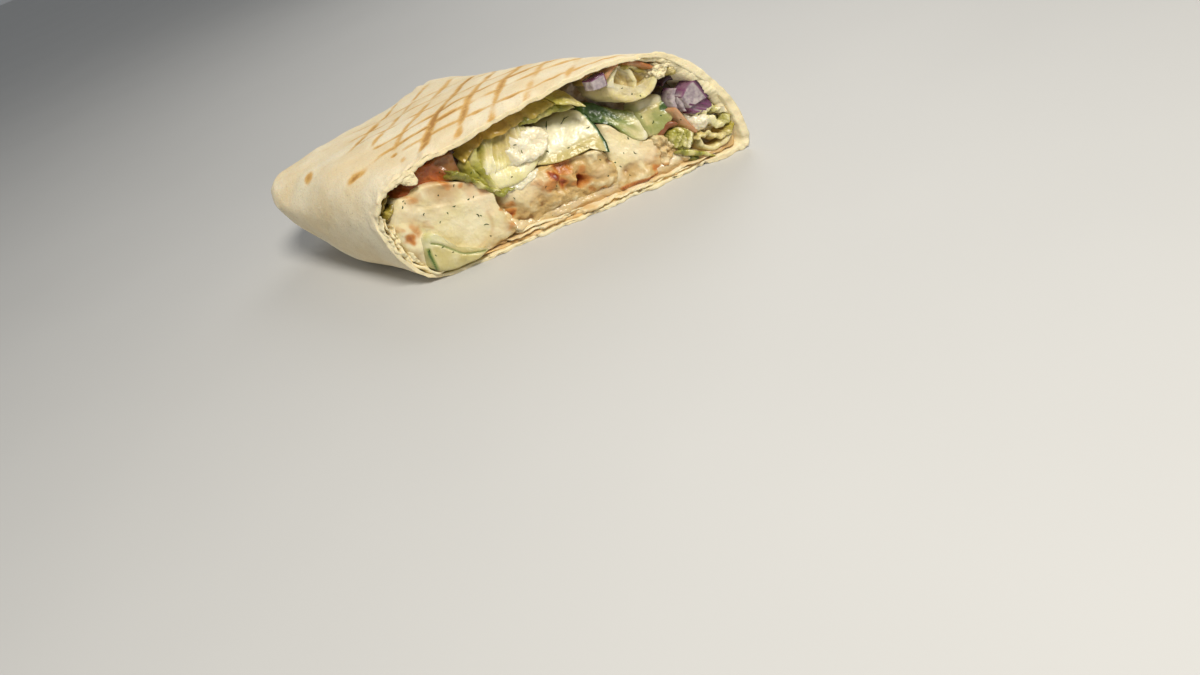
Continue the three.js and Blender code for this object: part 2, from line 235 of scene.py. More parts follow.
def step(value, low, high):
    """0 below low and 1 above high, with a smooth step between. low may be the larger one."""
    part = np.clip((np.asarray(value, float) - low) / (high - low), 0, 1)
    return part * part * (3 - 2 * part)


def end_at(x, corner=FILLINGS_CORNER):
    """How far along the roll's axis its end is, behind a place on the cut, with the corners cut back."""
    square_end = SHORT_SIDE + x * math.cos(AXIS_TURN) + END_SLANT * (CUT_LENGTH / 2 - x)
    return square_end - corner * np.abs(2 * x / CUT_LENGTH - 1) ** 8


def reach(x):
    """How far along the roll's axis the outside of the sheet ends."""
    return end_at(x, END_CORNER)


def end_shape(share):
    """How far the underside has lifted, the squeeze of the height, and the middle height."""
    lift = END_LIFT * np.clip((share - LIFT_START) / (1 - LIFT_START), 0, 1) ** 1.57
    drop = END_DROP * np.clip((share - DROP_START) / (1 - DROP_START), 0, 1)
    squeeze = (ROLL_HEIGHT - lift - drop) / ROLL_HEIGHT
    return lift, squeeze, lift + CLOSING_HEIGHT * squeeze


def settled(z, share, corner=0.0, least=0.0):
    """The height of a point of the roll. The closed end's edge is rounded, and its corners by corner."""
    lift, squeeze, middle = end_shape(share)
    closing = np.clip((share - ROUNDING_START) / (1 - ROUNDING_START), 0, 1)
    closing = np.maximum(closing, corner)
    return middle + (lift + z * squeeze - middle) * np.maximum(np.sqrt(1 - closing**2), least)


def on_roll(x, along, z):
    """A point of the roll, in millimetres from the cut's blunt end at table height."""
    place = (x - along * math.cos(AXIS_TURN), along * math.sin(AXIS_TURN), z)
    return np.stack(np.broadcast_arrays(*place), -1)


def crown(x, z, share=0.0):
    """How far the top swells, most near the thin tip. The swelling fades towards the closed end."""
    upper_half = np.clip(2 * z / ROLL_HEIGHT - 1, 0, 1)
    swelling = np.sin(math.pi * np.clip(x / CUT_LENGTH, 0, 1) ** CROWN_SKEW)
    return CROWN * (1 - CROWN_FADE * share**1.5) * upper_half * swelling


def distance_along(points):
    """How far each point is from the first one, along the line through them."""
    return np.concatenate([[0], np.cumsum(np.linalg.norm(np.diff(points, axis=0), axis=1))])


def evenly(points, count, closed=False):
    """Spaces count points evenly along a line of points."""
    if closed:
        points = np.vstack([points, points[:1]])
    run = distance_along(points)
    at = np.linspace(0, run[-1], count + 1)[:-1] if closed else np.linspace(0, run[-1], count)
    return np.column_stack([np.interp(at, run, points[:, axis]) for axis in range(points.shape[1])])


def round_quarter(x, z, radius_x, radius_z, start, squareness=SQUARENESS):
    """A quarter of a squared-off circle round (x, z), from the angle start."""
    angle = np.radians(start + np.arange(0, 90, 1.5))
    across, up_by = (np.sign(v) * np.abs(v) ** (2 / squareness) for v in (np.cos(angle), np.sin(angle)))
    return np.column_stack([x + radius_x * across, z + radius_z * up_by])


def outline(share, count):
    """The outside of the roll where it is cut, from the thin tip over the top to the blunt end."""
    tip = TIP_RADIUS + TIP_GROWTH * min(1.5 * share, 1)
    centre = BLUNT_CENTRE_HEIGHT
    top = np.linspace(CUT_LENGTH - TIP_TOP_RADIUS, BLUNT_RADIUS, 60)[:-1]
    under = np.linspace(BLUNT_RADIUS, CUT_LENGTH - tip, 60)[:-1]
    points = np.vstack([
        round_quarter(CUT_LENGTH - TIP_TOP_RADIUS, tip, TIP_TOP_RADIUS, ROLL_HEIGHT - tip, 0,
                      TIP_SQUARENESS),
        np.column_stack([top, np.full_like(top, ROLL_HEIGHT)]),
        round_quarter(BLUNT_RADIUS, centre, BLUNT_RADIUS, ROLL_HEIGHT - centre, 90),
        round_quarter(BLUNT_RADIUS, centre, BLUNT_RADIUS, centre, 180),
        np.column_stack([under, np.zeros_like(under)]),
        round_quarter(CUT_LENGTH - tip, tip, tip, tip, 270),
    ])
    points[:, 1] += crown(points[:, 0], points[:, 1], share)
    return evenly(points, count, closed=True)


def inset(loop, distance):
    """Moves a closed loop's points inwards by their distances."""
    run = np.roll(loop, -1, axis=0) - np.roll(loop, 1, axis=0)
    run /= np.linalg.norm(run, axis=1, keepdims=True)
    return loop + np.column_stack([-run[:, 1], run[:, 0]]) * np.reshape(distance, (-1, 1))


def bumps(points, size, seed=0, stretch=(1, 1, 1)):
    """Smooth random relief from about -1 to 1, whose humps are about size millimetres across."""
    flat = np.reshape(points, (-1, 3)) * (np.array(stretch) / size) + seed * 7.31
    return np.reshape([noise.noise(p) for p in flat.tolist()], np.shape(points)[:-1]) * 1.6


def grid_faces(rows, columns, start=0):
    """Four-sided faces over rows of points, each row a closed loop."""
    row, column = np.meshgrid(np.arange(rows - 1), np.arange(columns), indexing="ij")
    here = start + row * columns + column
    after = start + row * columns + (column + 1) % columns
    return np.stack([here, after, after + columns, here + columns], -1).reshape(-1, 4).tolist()


def surface_normals(grid):
    """The direction square to a grid of points, at each of them. Its rows are closed loops."""
    along_row = np.roll(grid, -1, axis=1) - np.roll(grid, 1, axis=1)
    square = np.cross(np.gradient(grid, axis=0), along_row)
    return square / np.maximum(np.linalg.norm(square, axis=-1, keepdims=True), 1e-9)


def make_piece(name, points, faces, paint=None):
    """A mesh object from points in millimetres from the cut's blunt end. paint is values for them."""
    mesh = bpy.data.meshes.new(name)
    placed = np.asarray(points) * MM + np.array([BLUNT_END, CUT_FACE, 0])
    mesh.from_pydata(placed.tolist(), [], faces)
    for key, values in (paint or {}).items():
        layer = mesh.attributes.new(key, "FLOAT", "POINT")
        layer.data.foreach_set("value", np.asarray(values, np.float32).ravel())
    solid = bmesh.new()
    solid.from_mesh(mesh)
    bmesh.ops.recalc_face_normals(solid, faces=solid.faces)
    solid.to_mesh(mesh)
    solid.free()
    mesh.shade_smooth()
    piece = bpy.data.objects.new(name, mesh)
    bpy.context.scene.collection.objects.link(piece)
    return piece


def smooth_loop(points, closed=True):
    """A rounded line through a few points."""
    points = np.asarray(points, float)
    if closed:
        points = np.vstack([points[-1:], points, points[:2]])
    else:
        points = np.vstack([2 * points[0] - points[1], points, 2 * points[-1] - points[-2]])
    t = np.linspace(0, 1, 24, endpoint=False)[:, None]
    lines = []
    for a, b, c, d in zip(points, points[1:], points[2:], points[3:]):
        bend = (2 * a - 5 * b + 4 * c - d) * t**2 + (3 * b - a - 3 * c + d) * t**3
        lines.append(b + 0.5 * ((c - a) * t + bend))
    return np.vstack(lines + ([] if closed else [points[-2:-1]]))


def near_line(x, z, line, wide):
    """1 on a line of (x, z) places, falling to 0 about wide millimetres from it."""
    gap = np.full(np.shape(x), 1e9)
    for at_x, at_z in smooth_loop(line, closed=False)[::3]:
        gap = np.minimum(gap, (x - at_x) ** 2 + (z - at_z) ** 2)
    return np.exp(-gap / wide**2)


RIDGE_TURN, RIDGE_SPACING, FIRST_RIDGE = math.radians(72), 12.1, -18
# how far behind the cut each line that runs back from it starts, and how dark it is
LINES_BACK = ((40, 0.75), (31, 0.55), (17, 0.6), (4, 1.0), (0, 0.8), (-3, 0.75), (-3, 0.55), (-3, 0.5))
# each line along the cut: its distance behind it, its slope, where it starts, and how dark it is
LINES_ALONG = ((14.8, -0.17, 13, 0.75), (22.6, -0.02, -6, 0.95), (31.5, -0.02, 3, 0.85),
               (46, -0.08, -3, 0.65), (61, 0, -8, 0.55), (74, 0, -8, 0.5))
# scorched blisters: where each one is, its half width and half length, and how dark it is
BLISTERS = ((-20, 44, 1.8, 4, 0.7), (12, 16, 1.2, 1.4, 0.85), (52, 30.6, 1.7, 1.3, 0.9),
            (40, 11.6, 2.4, 1, 0.85), (15, 8.4, 1.1, 1.8, 0.5))


def griddle_marks(x, y, shift=0.0):
    """How brown the griddle's ridges have left a place on the top or underside, from 0 to 1."""
    ridge = 0
    wobble = 0.9 * noise_field(x, y, 26, 3) + shift
    crossways = x - y / math.tan(RIDGE_TURN) + wobble
    for index, (start, strength) in enumerate(LINES_BACK):
        patchy = 0.84 + 0.5 * noise_field(x, y, 6, 20 + index)
        width = 0.75 + 0.9 * strength + 0.35 * noise_field(x, y, 6, 40 + index)
        line = np.exp(-np.abs((crossways - FIRST_RIDGE - RIDGE_SPACING * index) / width) ** 2.4)
        line = line * step(y, start, start + 5)
        ridge = np.maximum(ridge, strength * np.clip(patchy, 0, 1.1) * line)
    for index, (middle, slope, start, strength) in enumerate(LINES_ALONG):
        second = index == 1
        bend = 5.5 * step(x, 9, 0) * second
        patchy = 0.8 + 0.55 * noise_field(x, y, 6, 60 + index)
        width = 1.15 + 0.4 * noise_field(x, y, 6, 80 + index) + 0.6 * step(x, 6, 2) * second
        line = np.exp(-np.abs((y - middle - slope * (x - 20) + bend + wobble) / width) ** 2.2)
        ridge = np.maximum(ridge, strength * np.clip(patchy, 0, 1.1) * line * step(x, start, start + 4))
    ridge = ridge * step(x + 0.7 * y, 104, 86)
    for at_x, at_y, wide, high, strength in BLISTERS:
        ridge = np.maximum(ridge, strength * mound(x, y, at_x, at_y, wide, high, 1.4))
    return ridge


def mound(x, z, at_x, at_z, wide, high=None, power=1.0):
    """1 at a place, falling to 0 about wide and high millimetres from it."""
    return np.exp(-(((x - at_x) / wide) ** 2 + ((z - at_z) / (high or wide)) ** 2) ** power)


def noise_field(x, y, size, seed):
    """The same relief over a plane."""
    return bumps(np.stack([x, y, np.full_like(x, seed * 3.7)], -1), size)


# the outside of the sheet, as rows of points round the roll from the cut to the tucked end
COLUMNS = 356
FRONT_ROWS = np.linspace(0, 0.1, 18)[:-1]
BODY_ROWS = np.linspace(0.1, ROUNDING_START, 66)[:-1]
EDGE_ROWS = ROUNDING_START + (1 - ROUNDING_START) * np.sin(np.linspace(0, math.pi / 2, 14))
TUCK_ROWS = 9
TUCK_DEEP = 0.055

shares = np.concatenate([FRONT_ROWS, BODY_ROWS, EDGE_ROWS])
outer_rows = []
for share in shares:
    loop = outline(share, COLUMNS)
    slope = (reach(loop[:, 0] + 0.5) - reach(loop[:, 0] - 0.5)) - math.cos(AXIS_TURN)
    gap = (1 - share) * reach(loop[:, 0]) / np.sqrt(1 + slope**2)
    height = settled(loop[:, 1], share, np.clip(1 - gap / 3.2, 0, 1), 0.05 * float(step(share, 0.95, 1)))
    mouth = np.clip((loop[:, 0] - MOUTH_FROM) / (MOUTH_TO - MOUTH_FROM), 0, 1)
    side_of = np.sign(loop[:, 1] - CLOSING_HEIGHT)
    opening = 0.5 * MOUTH_HEIGHT * np.sin(math.pi * mouth) * step(share, 0.94, 1)
    middle = end_shape(share)[2]
    height = np.where(np.abs(height - middle) < opening, middle + side_of * opening, height)
    outer_rows.append(on_roll(loop[:, 0], share * reach(loop[:, 0]), height))
lips = outer_rows[-1]
for part in np.linspace(0, 1, TUCK_ROWS + 1)[1:]:
    loop = outline(1, COLUMNS)
    deep = 1 - TUCK_DEEP * part * step(loop[:, 0], CUT_LENGTH - 2, CUT_LENGTH - 13)
    middle = end_shape(1)[2]
    height = middle + (lips[:, 2] - middle) * (1 - 0.75 * part) * (1 - 0.9 * (part == 1))
    outer_rows.append(on_roll(loop[:, 0], deep * reach(loop[:, 0]), height))
outside = np.array(outer_rows)

along = np.broadcast_to(np.concatenate([shares, [1] * TUCK_ROWS])[:, None], outside.shape[:2])
square = surface_normals(outside)
upwards = square[..., 2]
from_cut = outside[..., 1]

marks = griddle_marks(outside[..., 0], outside[..., 1])
marks_below = griddle_marks(outside[..., 0] + 9, outside[..., 1], shift=4)
marks_below = 0.8 * marks_below * step(-upwards, 0.6, 0.9)
brown = np.where(upwards > 0, marks * step(upwards, 0.12, 0.5), marks_below)
brown = brown * step(along, 0.95, 0.88)

mouth_place = on_roll(92.0, float(reach(92.0)), float(end_shape(1)[2]))
away = outside - mouth_place
distance = np.linalg.norm(away, axis=-1)
round_mouth = np.arctan2(away[..., 2], -away[..., 0] - 0.3 * away[..., 1])
pleats = np.sin(9 * round_mouth + 2 * bumps(outside, 18, 5)) * np.exp(-((distance - 8) / 8) ** 2)
free = step(np.abs(upwards), 1.0, 0.93) + step(upwards, 0, 0.5)
relief = (
    0.42 * bumps(outside, 24, 1) * step(from_cut, 0, 12)
    + 0.22 * bumps(outside, 9, 2)
    + 0.07 * bumps(outside, 3.2, 3)
    + 0.35 * bumps(outside, 15, 4, stretch=(1, 0.25, 1)) * step(outside[..., 0], 26, 4)
) * np.clip(free, 0, 1)
relief += 0.3 * pleats * step(along, 0.85, 0.96) * step(outside[..., 0], 33, 29)
relief -= 0.25 * brown
seam = np.exp(-((outside[..., 0] + outside[..., 1] / math.tan(AXIS_TURN) - SEAM_AT) / 0.7) ** 2)
relief -= 1.3 * seam * step(upwards, -0.6, -0.9) * step(along, 0.9, 0.75)
outside = outside + square * relief[..., None]
outside[..., 2] -= 0.8 * step(along, 0.5, 0.75) * step(upwards, 0.2, 0.7) * step(outside[..., 0], 22, 4)
outside[..., 2] = np.where(upwards < -0.9, np.maximum(outside[..., 2], 0), outside[..., 2])


def ragged_edge(run, seed, amount=1.0):
    """How far a torn or roughly cut edge stands forward, along its run in millimetres."""
    along_edge = np.stack([run, np.zeros_like(run), np.full_like(run, seed)], -1)
    uneven = 0.55 * bumps(along_edge, 7.5) + 0.3 * bumps(along_edge, 2.6) + 0.14 * bumps(along_edge, 1.1)
    return amount * uneven


# the inside of the sheet, and the rough rim where it is cut
RIM_ROWS = 5
girth = distance_along(outline(0, COLUMNS))
inner_rows = []
inner_shares = np.concatenate([np.linspace(0, 0.12, 16)[:-1], np.linspace(0.12, 0.96, 12)])
for share in inner_shares:
    loop = outline(share, COLUMNS)
    under = step(loop[:, 1], 6, 2)
    near_tip = step(loop[:, 0], 92, 104)
    thick = 1.4 - 0.5 * under + 0.8 * near_tip + 0.14 * noise_field(girth, 0 * girth, 6, 8)
    inner = inset(loop, thick)
    back = share * (end_at(inner[:, 0]) - END_WALL - 9 * step(inner[:, 0], 84, 104))
    inner_rows.append(on_roll(inner[:, 0], back, settled(inner[:, 1], back / reach(inner[:, 0]))))
inside = np.array(inner_rows)
rim = [outside[0] + (inside[0] - outside[0]) * part for part in np.linspace(0, 1, RIM_ROWS + 2)[1:-1]]
shell = np.concatenate([outside[::-1], np.array(rim), inside])

front = np.exp(-np.maximum(shell[..., 1], 0) / 2.4)
torn_here = 1 + 0.9 * step(shell[..., 0], 34, 18) * step(shell[..., 2], 14, 24)
torn_here += 0.8 * step(shell[..., 2], 5, 2) * step(shell[..., 0], 20, 36)
shell[..., 1] -= ragged_edge(np.broadcast_to(girth, shell.shape[:2]), 1) * front * torn_here
top_edge = step(shell[..., 2], 20, 32) * np.exp(-(np.maximum(shell[..., 1], 0) / 9) ** 2)
across, level = shell[..., 0], 0 * shell[..., 0]
uneven = 0.5 * noise_field(across, level, 12, 11) + 0.8 * mound(across, 0, 22, 0, 7)
shell[..., 2] += top_edge * (uneven + 0.35 * noise_field(across, level, 4, 12))
flare = mound(shell[..., 2], 0, 23.4, 0, 2.6) * step(shell[..., 0], 8, 4)
shell[..., 0] -= 1.3 * flare * np.exp(-np.maximum(shell[..., 1], 0) / 2)
shell += (0.14 * torn_here**2 * bumps(shell, 1.5, 9) * front)[..., None] * surface_normals(shell)
shell[..., 2] = np.maximum(shell[..., 2], 0)

rows = len(shell)
faces = grid_faces(rows, COLUMNS)
faces += [range(COLUMNS - 1, -1, -1), range((rows - 1) * COLUMNS, rows * COLUMNS)]
is_rim = np.zeros(shell.shape[:2])
is_rim[len(outside) - 1:len(outside) + RIM_ROWS + 1] = 1
shell_brown = np.zeros(shell.shape[:2])
shell_brown[:len(outside)] = brown[::-1]
is_inside = np.zeros(shell.shape[:2])
is_inside[len(outside) + RIM_ROWS:] = 1

tortilla = make_piece("tortilla_sheet", shell.reshape(-1, 3), faces,
                      {"brown": shell_brown, "cut": is_rim, "inner": is_inside})


roof = outline(0, 600)
roof = roof[roof[:, 1] > 15]
roof = roof[np.argsort(roof[:, 0])]


def behind_cut(x, z, back, face=0.0):
    """A place some millimetres behind the cut, back along the roll from (x, z) where the face is. It is
    kept inside the sheet."""
    start = x + face / math.tan(AXIS_TURN)
    along = np.minimum(back / math.sin(AXIS_TURN), end_at(start) - END_WALL - 4)
    share = np.maximum(along / reach(start), 0)
    sunk = CROWN_FADE * share**1.5 * crown(start, ROLL_HEIGHT)
    tip = TIP_RADIUS + TIP_GROWTH * np.minimum(1.5 * share, 1)
    past = np.clip((start - CUT_LENGTH + tip) / tip, 0, 0.97)
    lowest = 0.8 + 0.6 * share + tip * (1 - np.sqrt(1 - past**2))
    z = np.clip(z, lowest, np.interp(start, roof[:, 0], roof[:, 1]) - sunk - 1.2 - share)
    return on_roll(start, along, settled(z, share))


def painted(paint, *places):
    """Each painter's values at some places. A painter is a function of them, or the same number for all."""
    return {key: painter(*places) if callable(painter) else np.full(len(places[0]), painter)
            for key, painter in paint.items()}


def ribbon(path, thick, front, length, lean=0.0, rise=0.0, ragged=0.5, ruffle=0.4, wave=4.0, seed=0,
           across=140, ends=0.3, **paint):
    """A thin layer seen on its edge. path is where it runs across the cut, and rise is how far it climbs
    behind its front edge. Painters take the share along the path, u, and the depth behind the edge, d."""
    line = evenly(smooth_loop(path, closed=False), across)
    way = np.gradient(line, axis=0)
    way /= np.linalg.norm(way, axis=1, keepdims=True)
    side = np.column_stack([-way[:, 1], way[:, 0]])
    run = distance_along(line)
    u = np.linspace(0, 1, across)
    thickness = np.interp(u, np.linspace(0, 1, np.size(thick)), np.ravel(thick))
    thickness = thickness * (1 - (1 - ends) * (2 * u - 1) ** 10)
    stand = front + lean * (line[:, 1] - line[:, 1].min()) + ragged * ragged_edge(run, seed + 0.5, 1.6)
    stand = np.concatenate([stand, stand[::-1]])
    half = thickness.mean() / 2
    edge_depths = half * np.array([0, 0.12, 0.35, 0.7])
    depths = np.concatenate([edge_depths, half + (length - half) * np.linspace(0, 1, 13) ** 1.8])
    rows = []
    for depth in depths:
        edge = math.sqrt(max(1 - (1 - min(depth / half, 1)) ** 2, 0.03))
        place = np.column_stack([run, 0 * run + 0.7 * depth, 0 * run + seed])
        waver = ruffle * bumps(place, wave) + 0.25 * ruffle * bumps(place * (1, 1, -1), wave * 0.3)
        middle = line + side * waver[:, None]
        offset = side * (thickness * edge / 2)[:, None]
        loop = np.vstack([middle + offset, (middle - offset)[::-1]])
        climb = loop[:, 1] + rise * (1 - math.exp(-depth / 5))
        rows.append(behind_cut(loop[:, 0], climb, stand + depth, stand))
    count, around = len(rows), 2 * across
    faces = grid_faces(count, around)
    for start in (0, (count - 1) * around):
        faces += [(start + i, start + i + 1, start + around - 2 - i, start + around - 1 - i)
                  for i in range(across - 1)]
    values = painted(paint, np.tile(np.concatenate([u, u[::-1]]), count), np.repeat(depths, around))
    return make_piece("layer", np.concatenate(rows), faces, values)


def chunk(edge, front, length, lean=0.0, soften=1.2, face=None, rough=0.3, grain=3.0, seed=0,
          around=220, rings=40, straight=False, **paint):
    """A piece that runs back along the roll. edge is its outline at the cut, and front and lean say how
    far behind the cut its face stands. face(x, z) raises the face, in millimetres. Painters take the
    same x and z."""
    loop = evenly(smooth_loop(edge), around, closed=True)
    centre = (loop.min(0) + loop.max(0)) / 2
    lowest = loop[:, 1].min()
    band = min(soften / np.linalg.norm(loop - centre, axis=1).mean(), 0.8)
    rows, flats = [], []
    for part in np.concatenate([[0.015], np.linspace(0.04, 1, rings)]):
        flat = centre + (loop - centre) * part
        stand = front + lean * (flat[:, 1] - lowest)
        fall = soften * (1 - math.sqrt(1 - min(max(part - 1 + band, 0) / band, 1) ** 2))
        lift = face(flat[:, 0], flat[:, 1]) if face else 0
        rows.append(behind_cut(flat[:, 0], flat[:, 1], stand + fall - lift, 0 if straight else stand))
        flats.append(flat)
    for depth in np.linspace(0, 1, 18)[1:] ** 1.7:
        far = stand + soften + depth * (length - soften) - lift * (1 - depth) ** 4
        rows.append(behind_cut(loop[:, 0], loop[:, 1], far, 0 if straight else stand))
        flats.append(loop)
    grid = np.array(rows)
    relief = rough * (bumps(grid, grain, seed) + 0.45 * bumps(grid, grain * 0.4, seed + 1))
    relief += 0.25 * rough * bumps(grid, grain * 0.17, seed + 2)
    grid = grid + surface_normals(grid) * relief[..., None]
    count = len(grid)
    faces = grid_faces(count, around)
    faces += [range(around - 1, -1, -1), range((count - 1) * around, count * around)]
    return make_piece("chunk", grid.reshape(-1, 3), faces, painted(paint, *np.concatenate(flats).T))


def joined(*pieces):
    """One object made of one or more meshes."""
    if len(pieces) > 1:
        with bpy.context.temp_override(active_object=pieces[0], selected_editable_objects=pieces):
            bpy.ops.object.join()
    return pieces[0]


def wall_layer(distance, top, far_x):
    """Where a layer lies inside the blunt end, from its top edge down and under the fillings."""
    line = inset(outline(0, COLUMNS), distance)
    return line[(line[:, 0] < far_x) & (line[:, 1] < top)][::4]


lap_paint = dict(cut=lambda u, d: 0.4 * np.exp(-d / 0.6), inner=0.4,
                 brown=lambda u, d: 0.3 + 0.16 * np.sin(37 * u) + 0.1 * np.sin(83 * u))
layer_paint = dict(cut=lambda u, d: np.exp(-d / 0.6), inner=0.6)
crumb_paint = dict(cut=0.8, inner=0.6)
tortilla = joined(
    tortilla,
    # the folded-in side, three layers deep in the blunt end
    ribbon(wall_layer(1.9, 26, 18), [0.5, 1.1, 1.1, 0.6], 0.2, 60, ragged=1.3, ruffle=0.4, wave=3.4,
           seed=201, across=130, **layer_paint),
    ribbon(wall_layer(2.9, 24.4, 15), [0.4, 1.1, 1.2, 0.6], 0.7, 56, ragged=1.5, ruffle=0.45, wave=3,
           seed=202, across=120, **layer_paint),
    ribbon(wall_layer(3.9, 22, 12.5), [0.4, 1.1, 1.2, 0.5], 1.3, 50, ragged=1.6, ruffle=0.5, wave=2.4,
           seed=203, across=110, **layer_paint),
    # the sheet's first edge, doubled under the fillings, with its flaking layers
    ribbon([(34, 2.9), (45, 2.5), (60, 2.2), (75, 2.2), (90, 2.3), (101, 2.2)], [0.7, 1.1, 1.0, 0.9, 0.5],
           0.3, 88, ragged=1.4, ruffle=0.4, wave=5, seed=204, across=220, **lap_paint),
    # a layer set further back, painted tan-brown: partly the sheet's browned inner side and partly painted
    # shade in the gap under the fillings
    ribbon([(22, 1.3), (45, 1.2), (60, 1.1), (75, 1.1), (90, 1.2), (101, 1.3)], [0.5, 1.0, 1.0, 1.0, 0.5],
           1.2, 80, ragged=0.7, ruffle=0.15, wave=7, seed=210, across=160, brown=0.38),
    ribbon([(36.6, 4.2), (43, 3.9), (50, 3.3), (58, 2.9)], [0.4, 0.8, 0.5], 0.5, 16, ragged=1.1, ruffle=0.3,
           wave=4, seed=205, across=100, **layer_paint),
    ribbon([(68, 1.9), (76, 1.7), (84, 1.6), (92, 1.6)], [0.3, 0.6, 0.6, 0.3], 0.0, 16, ragged=1.3,
           ruffle=0.3, wave=3, seed=206, across=100, **layer_paint),
    # a tongue of dough hanging from the rim, and the torn inner layer near the thin end
    chunk([(9.4, 33.6), (10.6, 32.2), (12.4, 32.6), (13.6, 31.8), (15, 30.6), (16.8, 30.4), (17.5, 32),
           (17.1, 34.6), (16, 36), (12, 35.4)], -0.2, 4, soften=0.6, rough=0.25, grain=1.4, seed=207,
          around=130, rings=18, **crumb_paint),
    ribbon([(86.6, 38.9), (89, 37.4), (91.4, 36.6), (94, 35.6), (96.6, 33.4), (98.4, 31.6)],
           [0.6, 1.0, 1.5, 1.0, 0.6], 0.6, 16, ragged=1.4, ruffle=0.4, wave=2.4, seed=208, across=100,
           **layer_paint),
    ribbon([(92, 35.2), (96, 33), (100, 29.6), (103.4, 24.8), (106, 19), (107.8, 12.6)],
           [0.8, 1.6, 2.6, 3.0, 2.6, 1.2], 0.3, 30, ragged=1.2, ruffle=0.5, wave=3.2, seed=211, across=140,
           **layer_paint),
    chunk([(90.8, 31.6), (91.4, 33.6), (93.6, 34.6), (95.2, 33.2), (94.4, 31.4), (92.6, 30.2)], 0.9, 6,
          soften=0.6, rough=0.5, grain=1.1, seed=209, around=90, rings=14, **crumb_paint),
)

bread = Finish("tortilla", Roughness=0.72, Subsurface_Weight=0.12, Subsurface_Scale=0.002,
               Subsurface_Radius=(1.0, 0.6, 0.3))
soft = bread.grain(14, detail=3)
fine = bread.grain(1.3, detail=4, roughness=0.6)
sand = bread.grain(0.55, detail=3, roughness=0.7)
pores = bread.spots(1.1).between(0.32, 0.08)
dough = soft.between(0.3, 0.7).tint("#EED9AE", "#F8EBCB")
dough = (fine.between(0.55, 0.75) * 0.4).tint(dough, "#D6BD92")
dough = (sand.between(0.52, 0.7) * 0.35).tint(dough, "#CBB088")
marks_here = bread.painted("brown")
broken = marks_here * (bread.grain(2.2, detail=4, roughness=0.65).between(0.2, 0.55) * 0.6 + 0.55)
toasted = broken.between(0.04, 0.6)
deep = broken.between(0.5, 1.05)
dough = (toasted * 0.95).tint(dough, "#DCAE62")
dough = (deep * 0.85).tint(dough, "#AE7934")
specks = bread.spots(3.4).between(0.085, 0.035) * bread.grain(9).between(0.45, 0.6)
dough = (specks * 0.55).tint(dough, "#8F7650")
dough = (bread.painted("cut") * 0.6).tint(dough, "#F2E4B8")
# The inside of the sheet is painted paler: partly its own colour and partly painted light that brightens its
# shaded inner walls near the thin end.
dough = (bread.painted("inner") * 0.8).tint(dough, "#F6E9BE")
skin_relief = soft * 0.6 + fine * 0.4 + sand * 0.22 + pores * -0.18
tortilla.data.materials.append(bread.wear(dough, relief=skin_relief, depth=0.45))
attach(tortilla, "root")
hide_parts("tortilla")


# --- The dressing ---
# A thick cream-coloured yoghurt sauce, stirred through the filling. It fills what is left between the
# pieces, a little behind the cut, and leaves pockets under the top sheet. It is painted darker there and
# deeper behind the cut, as painted shade.


def folds(x, z, angle, long, short, seed):
    """Relief from about -1 to 1 that is drawn out in one direction, as torn fibres and creases are."""
    turn = np.radians(angle)
    way = x * np.cos(turn) + z * np.sin(turn)
    over = z * np.cos(turn) - x * np.sin(turn)
    return bumps(np.stack([way / long, over / short, np.full_like(way, seed * 3.7)], -1), 1.0)


def patches(places, wander=1.2, seed=0):
    """A painter of soft-edged patches at places (x, z, radius, strength), with uneven outlines."""
    def painter(x, z):
        wandered_x = x + wander * noise_field(x, z, 2.4, seed)
        wandered_z = z + wander * noise_field(x, z, 2.4, seed + 3)
        total = np.zeros(len(x))
        for at_x, at_z, radius, strength in places:
            patch = strength * mound(wandered_x, wandered_z, at_x, at_z, radius, power=1.5)
            total = np.maximum(total, patch)
        return total
    return painter


def stripe(line, wide, strength=1.0):
    """A painter of a soft-edged line through (x, z) places."""
    return lambda x, z: strength * near_line(x, z, line, wide)


def most(*painters):
    """A painter that takes the strongest of several at each place."""
    return lambda x, z: np.maximum.reduce([painter(x, z) for painter in painters])


def shown(node, slot, look, *pieces):
    """Joins meshes to a piece with its material, named after the node it shows, whose own part is hidden."""
    piece = joined(*pieces)
    piece.name = "shown_" + node
    piece.data.materials.append(look)
    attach(piece, "root")
    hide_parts(node)


def dressing_face(x, z):
    """Where the dressing swells out between the pieces, and where it dips back."""
    swell = 0
    for at_x, at_z, wide, high, much in (
            (42, 18.4, 9, 2.6, 6), (49, 23, 3.4, 4, 8), (37, 9, 3, 7, 2.4), (58, 5, 24, 2, 1.6),
            (90, 5, 9, 3, 1.2), (101, 14.6, 4, 3, 3.4), (104, 3, 7, 2, 1.0), (93, 18, 4, 3, 3),
            (8, 27.6, 5.5, 4, -2), (84.4, 14.8, 1.6, 1.4, -3), (101, 6.4, 4, 2.4, -5),
            (60.4, 10.8, 2, 1.8, -6), (31, 33, 3, 3, -4), (35.6, 3.6, 1.6, 1.2, -4)):
        swell = swell + much * mound(x, z, at_x, at_z, wide, high, 1.4)
    return swell + 0.5 * noise_field(x, z, 5, 71)


cream = Finish("dressing", Roughness=0.24, Subsurface_Weight=0.25, Subsurface_Scale=0.002, Coat_Weight=0.3,
               Coat_Roughness=0.12, Subsurface_Radius=(1.0, 0.75, 0.4))
cloud = cream.grain(4, detail=3)
sauce = cloud.between(0.35, 0.7).tint("#E8D7A4", "#F6EDCE")
sauce = (cream.painted("white") * 0.8).tint(sauce, "#F4EDD6")
# Warm brown painted shade, low down along the foot of the fillings and in the pocket near the thin end.
sauce = (cream.painted("tan") * (cloud * 0.5 + 0.6)).tint(sauce, "#C79C5C")
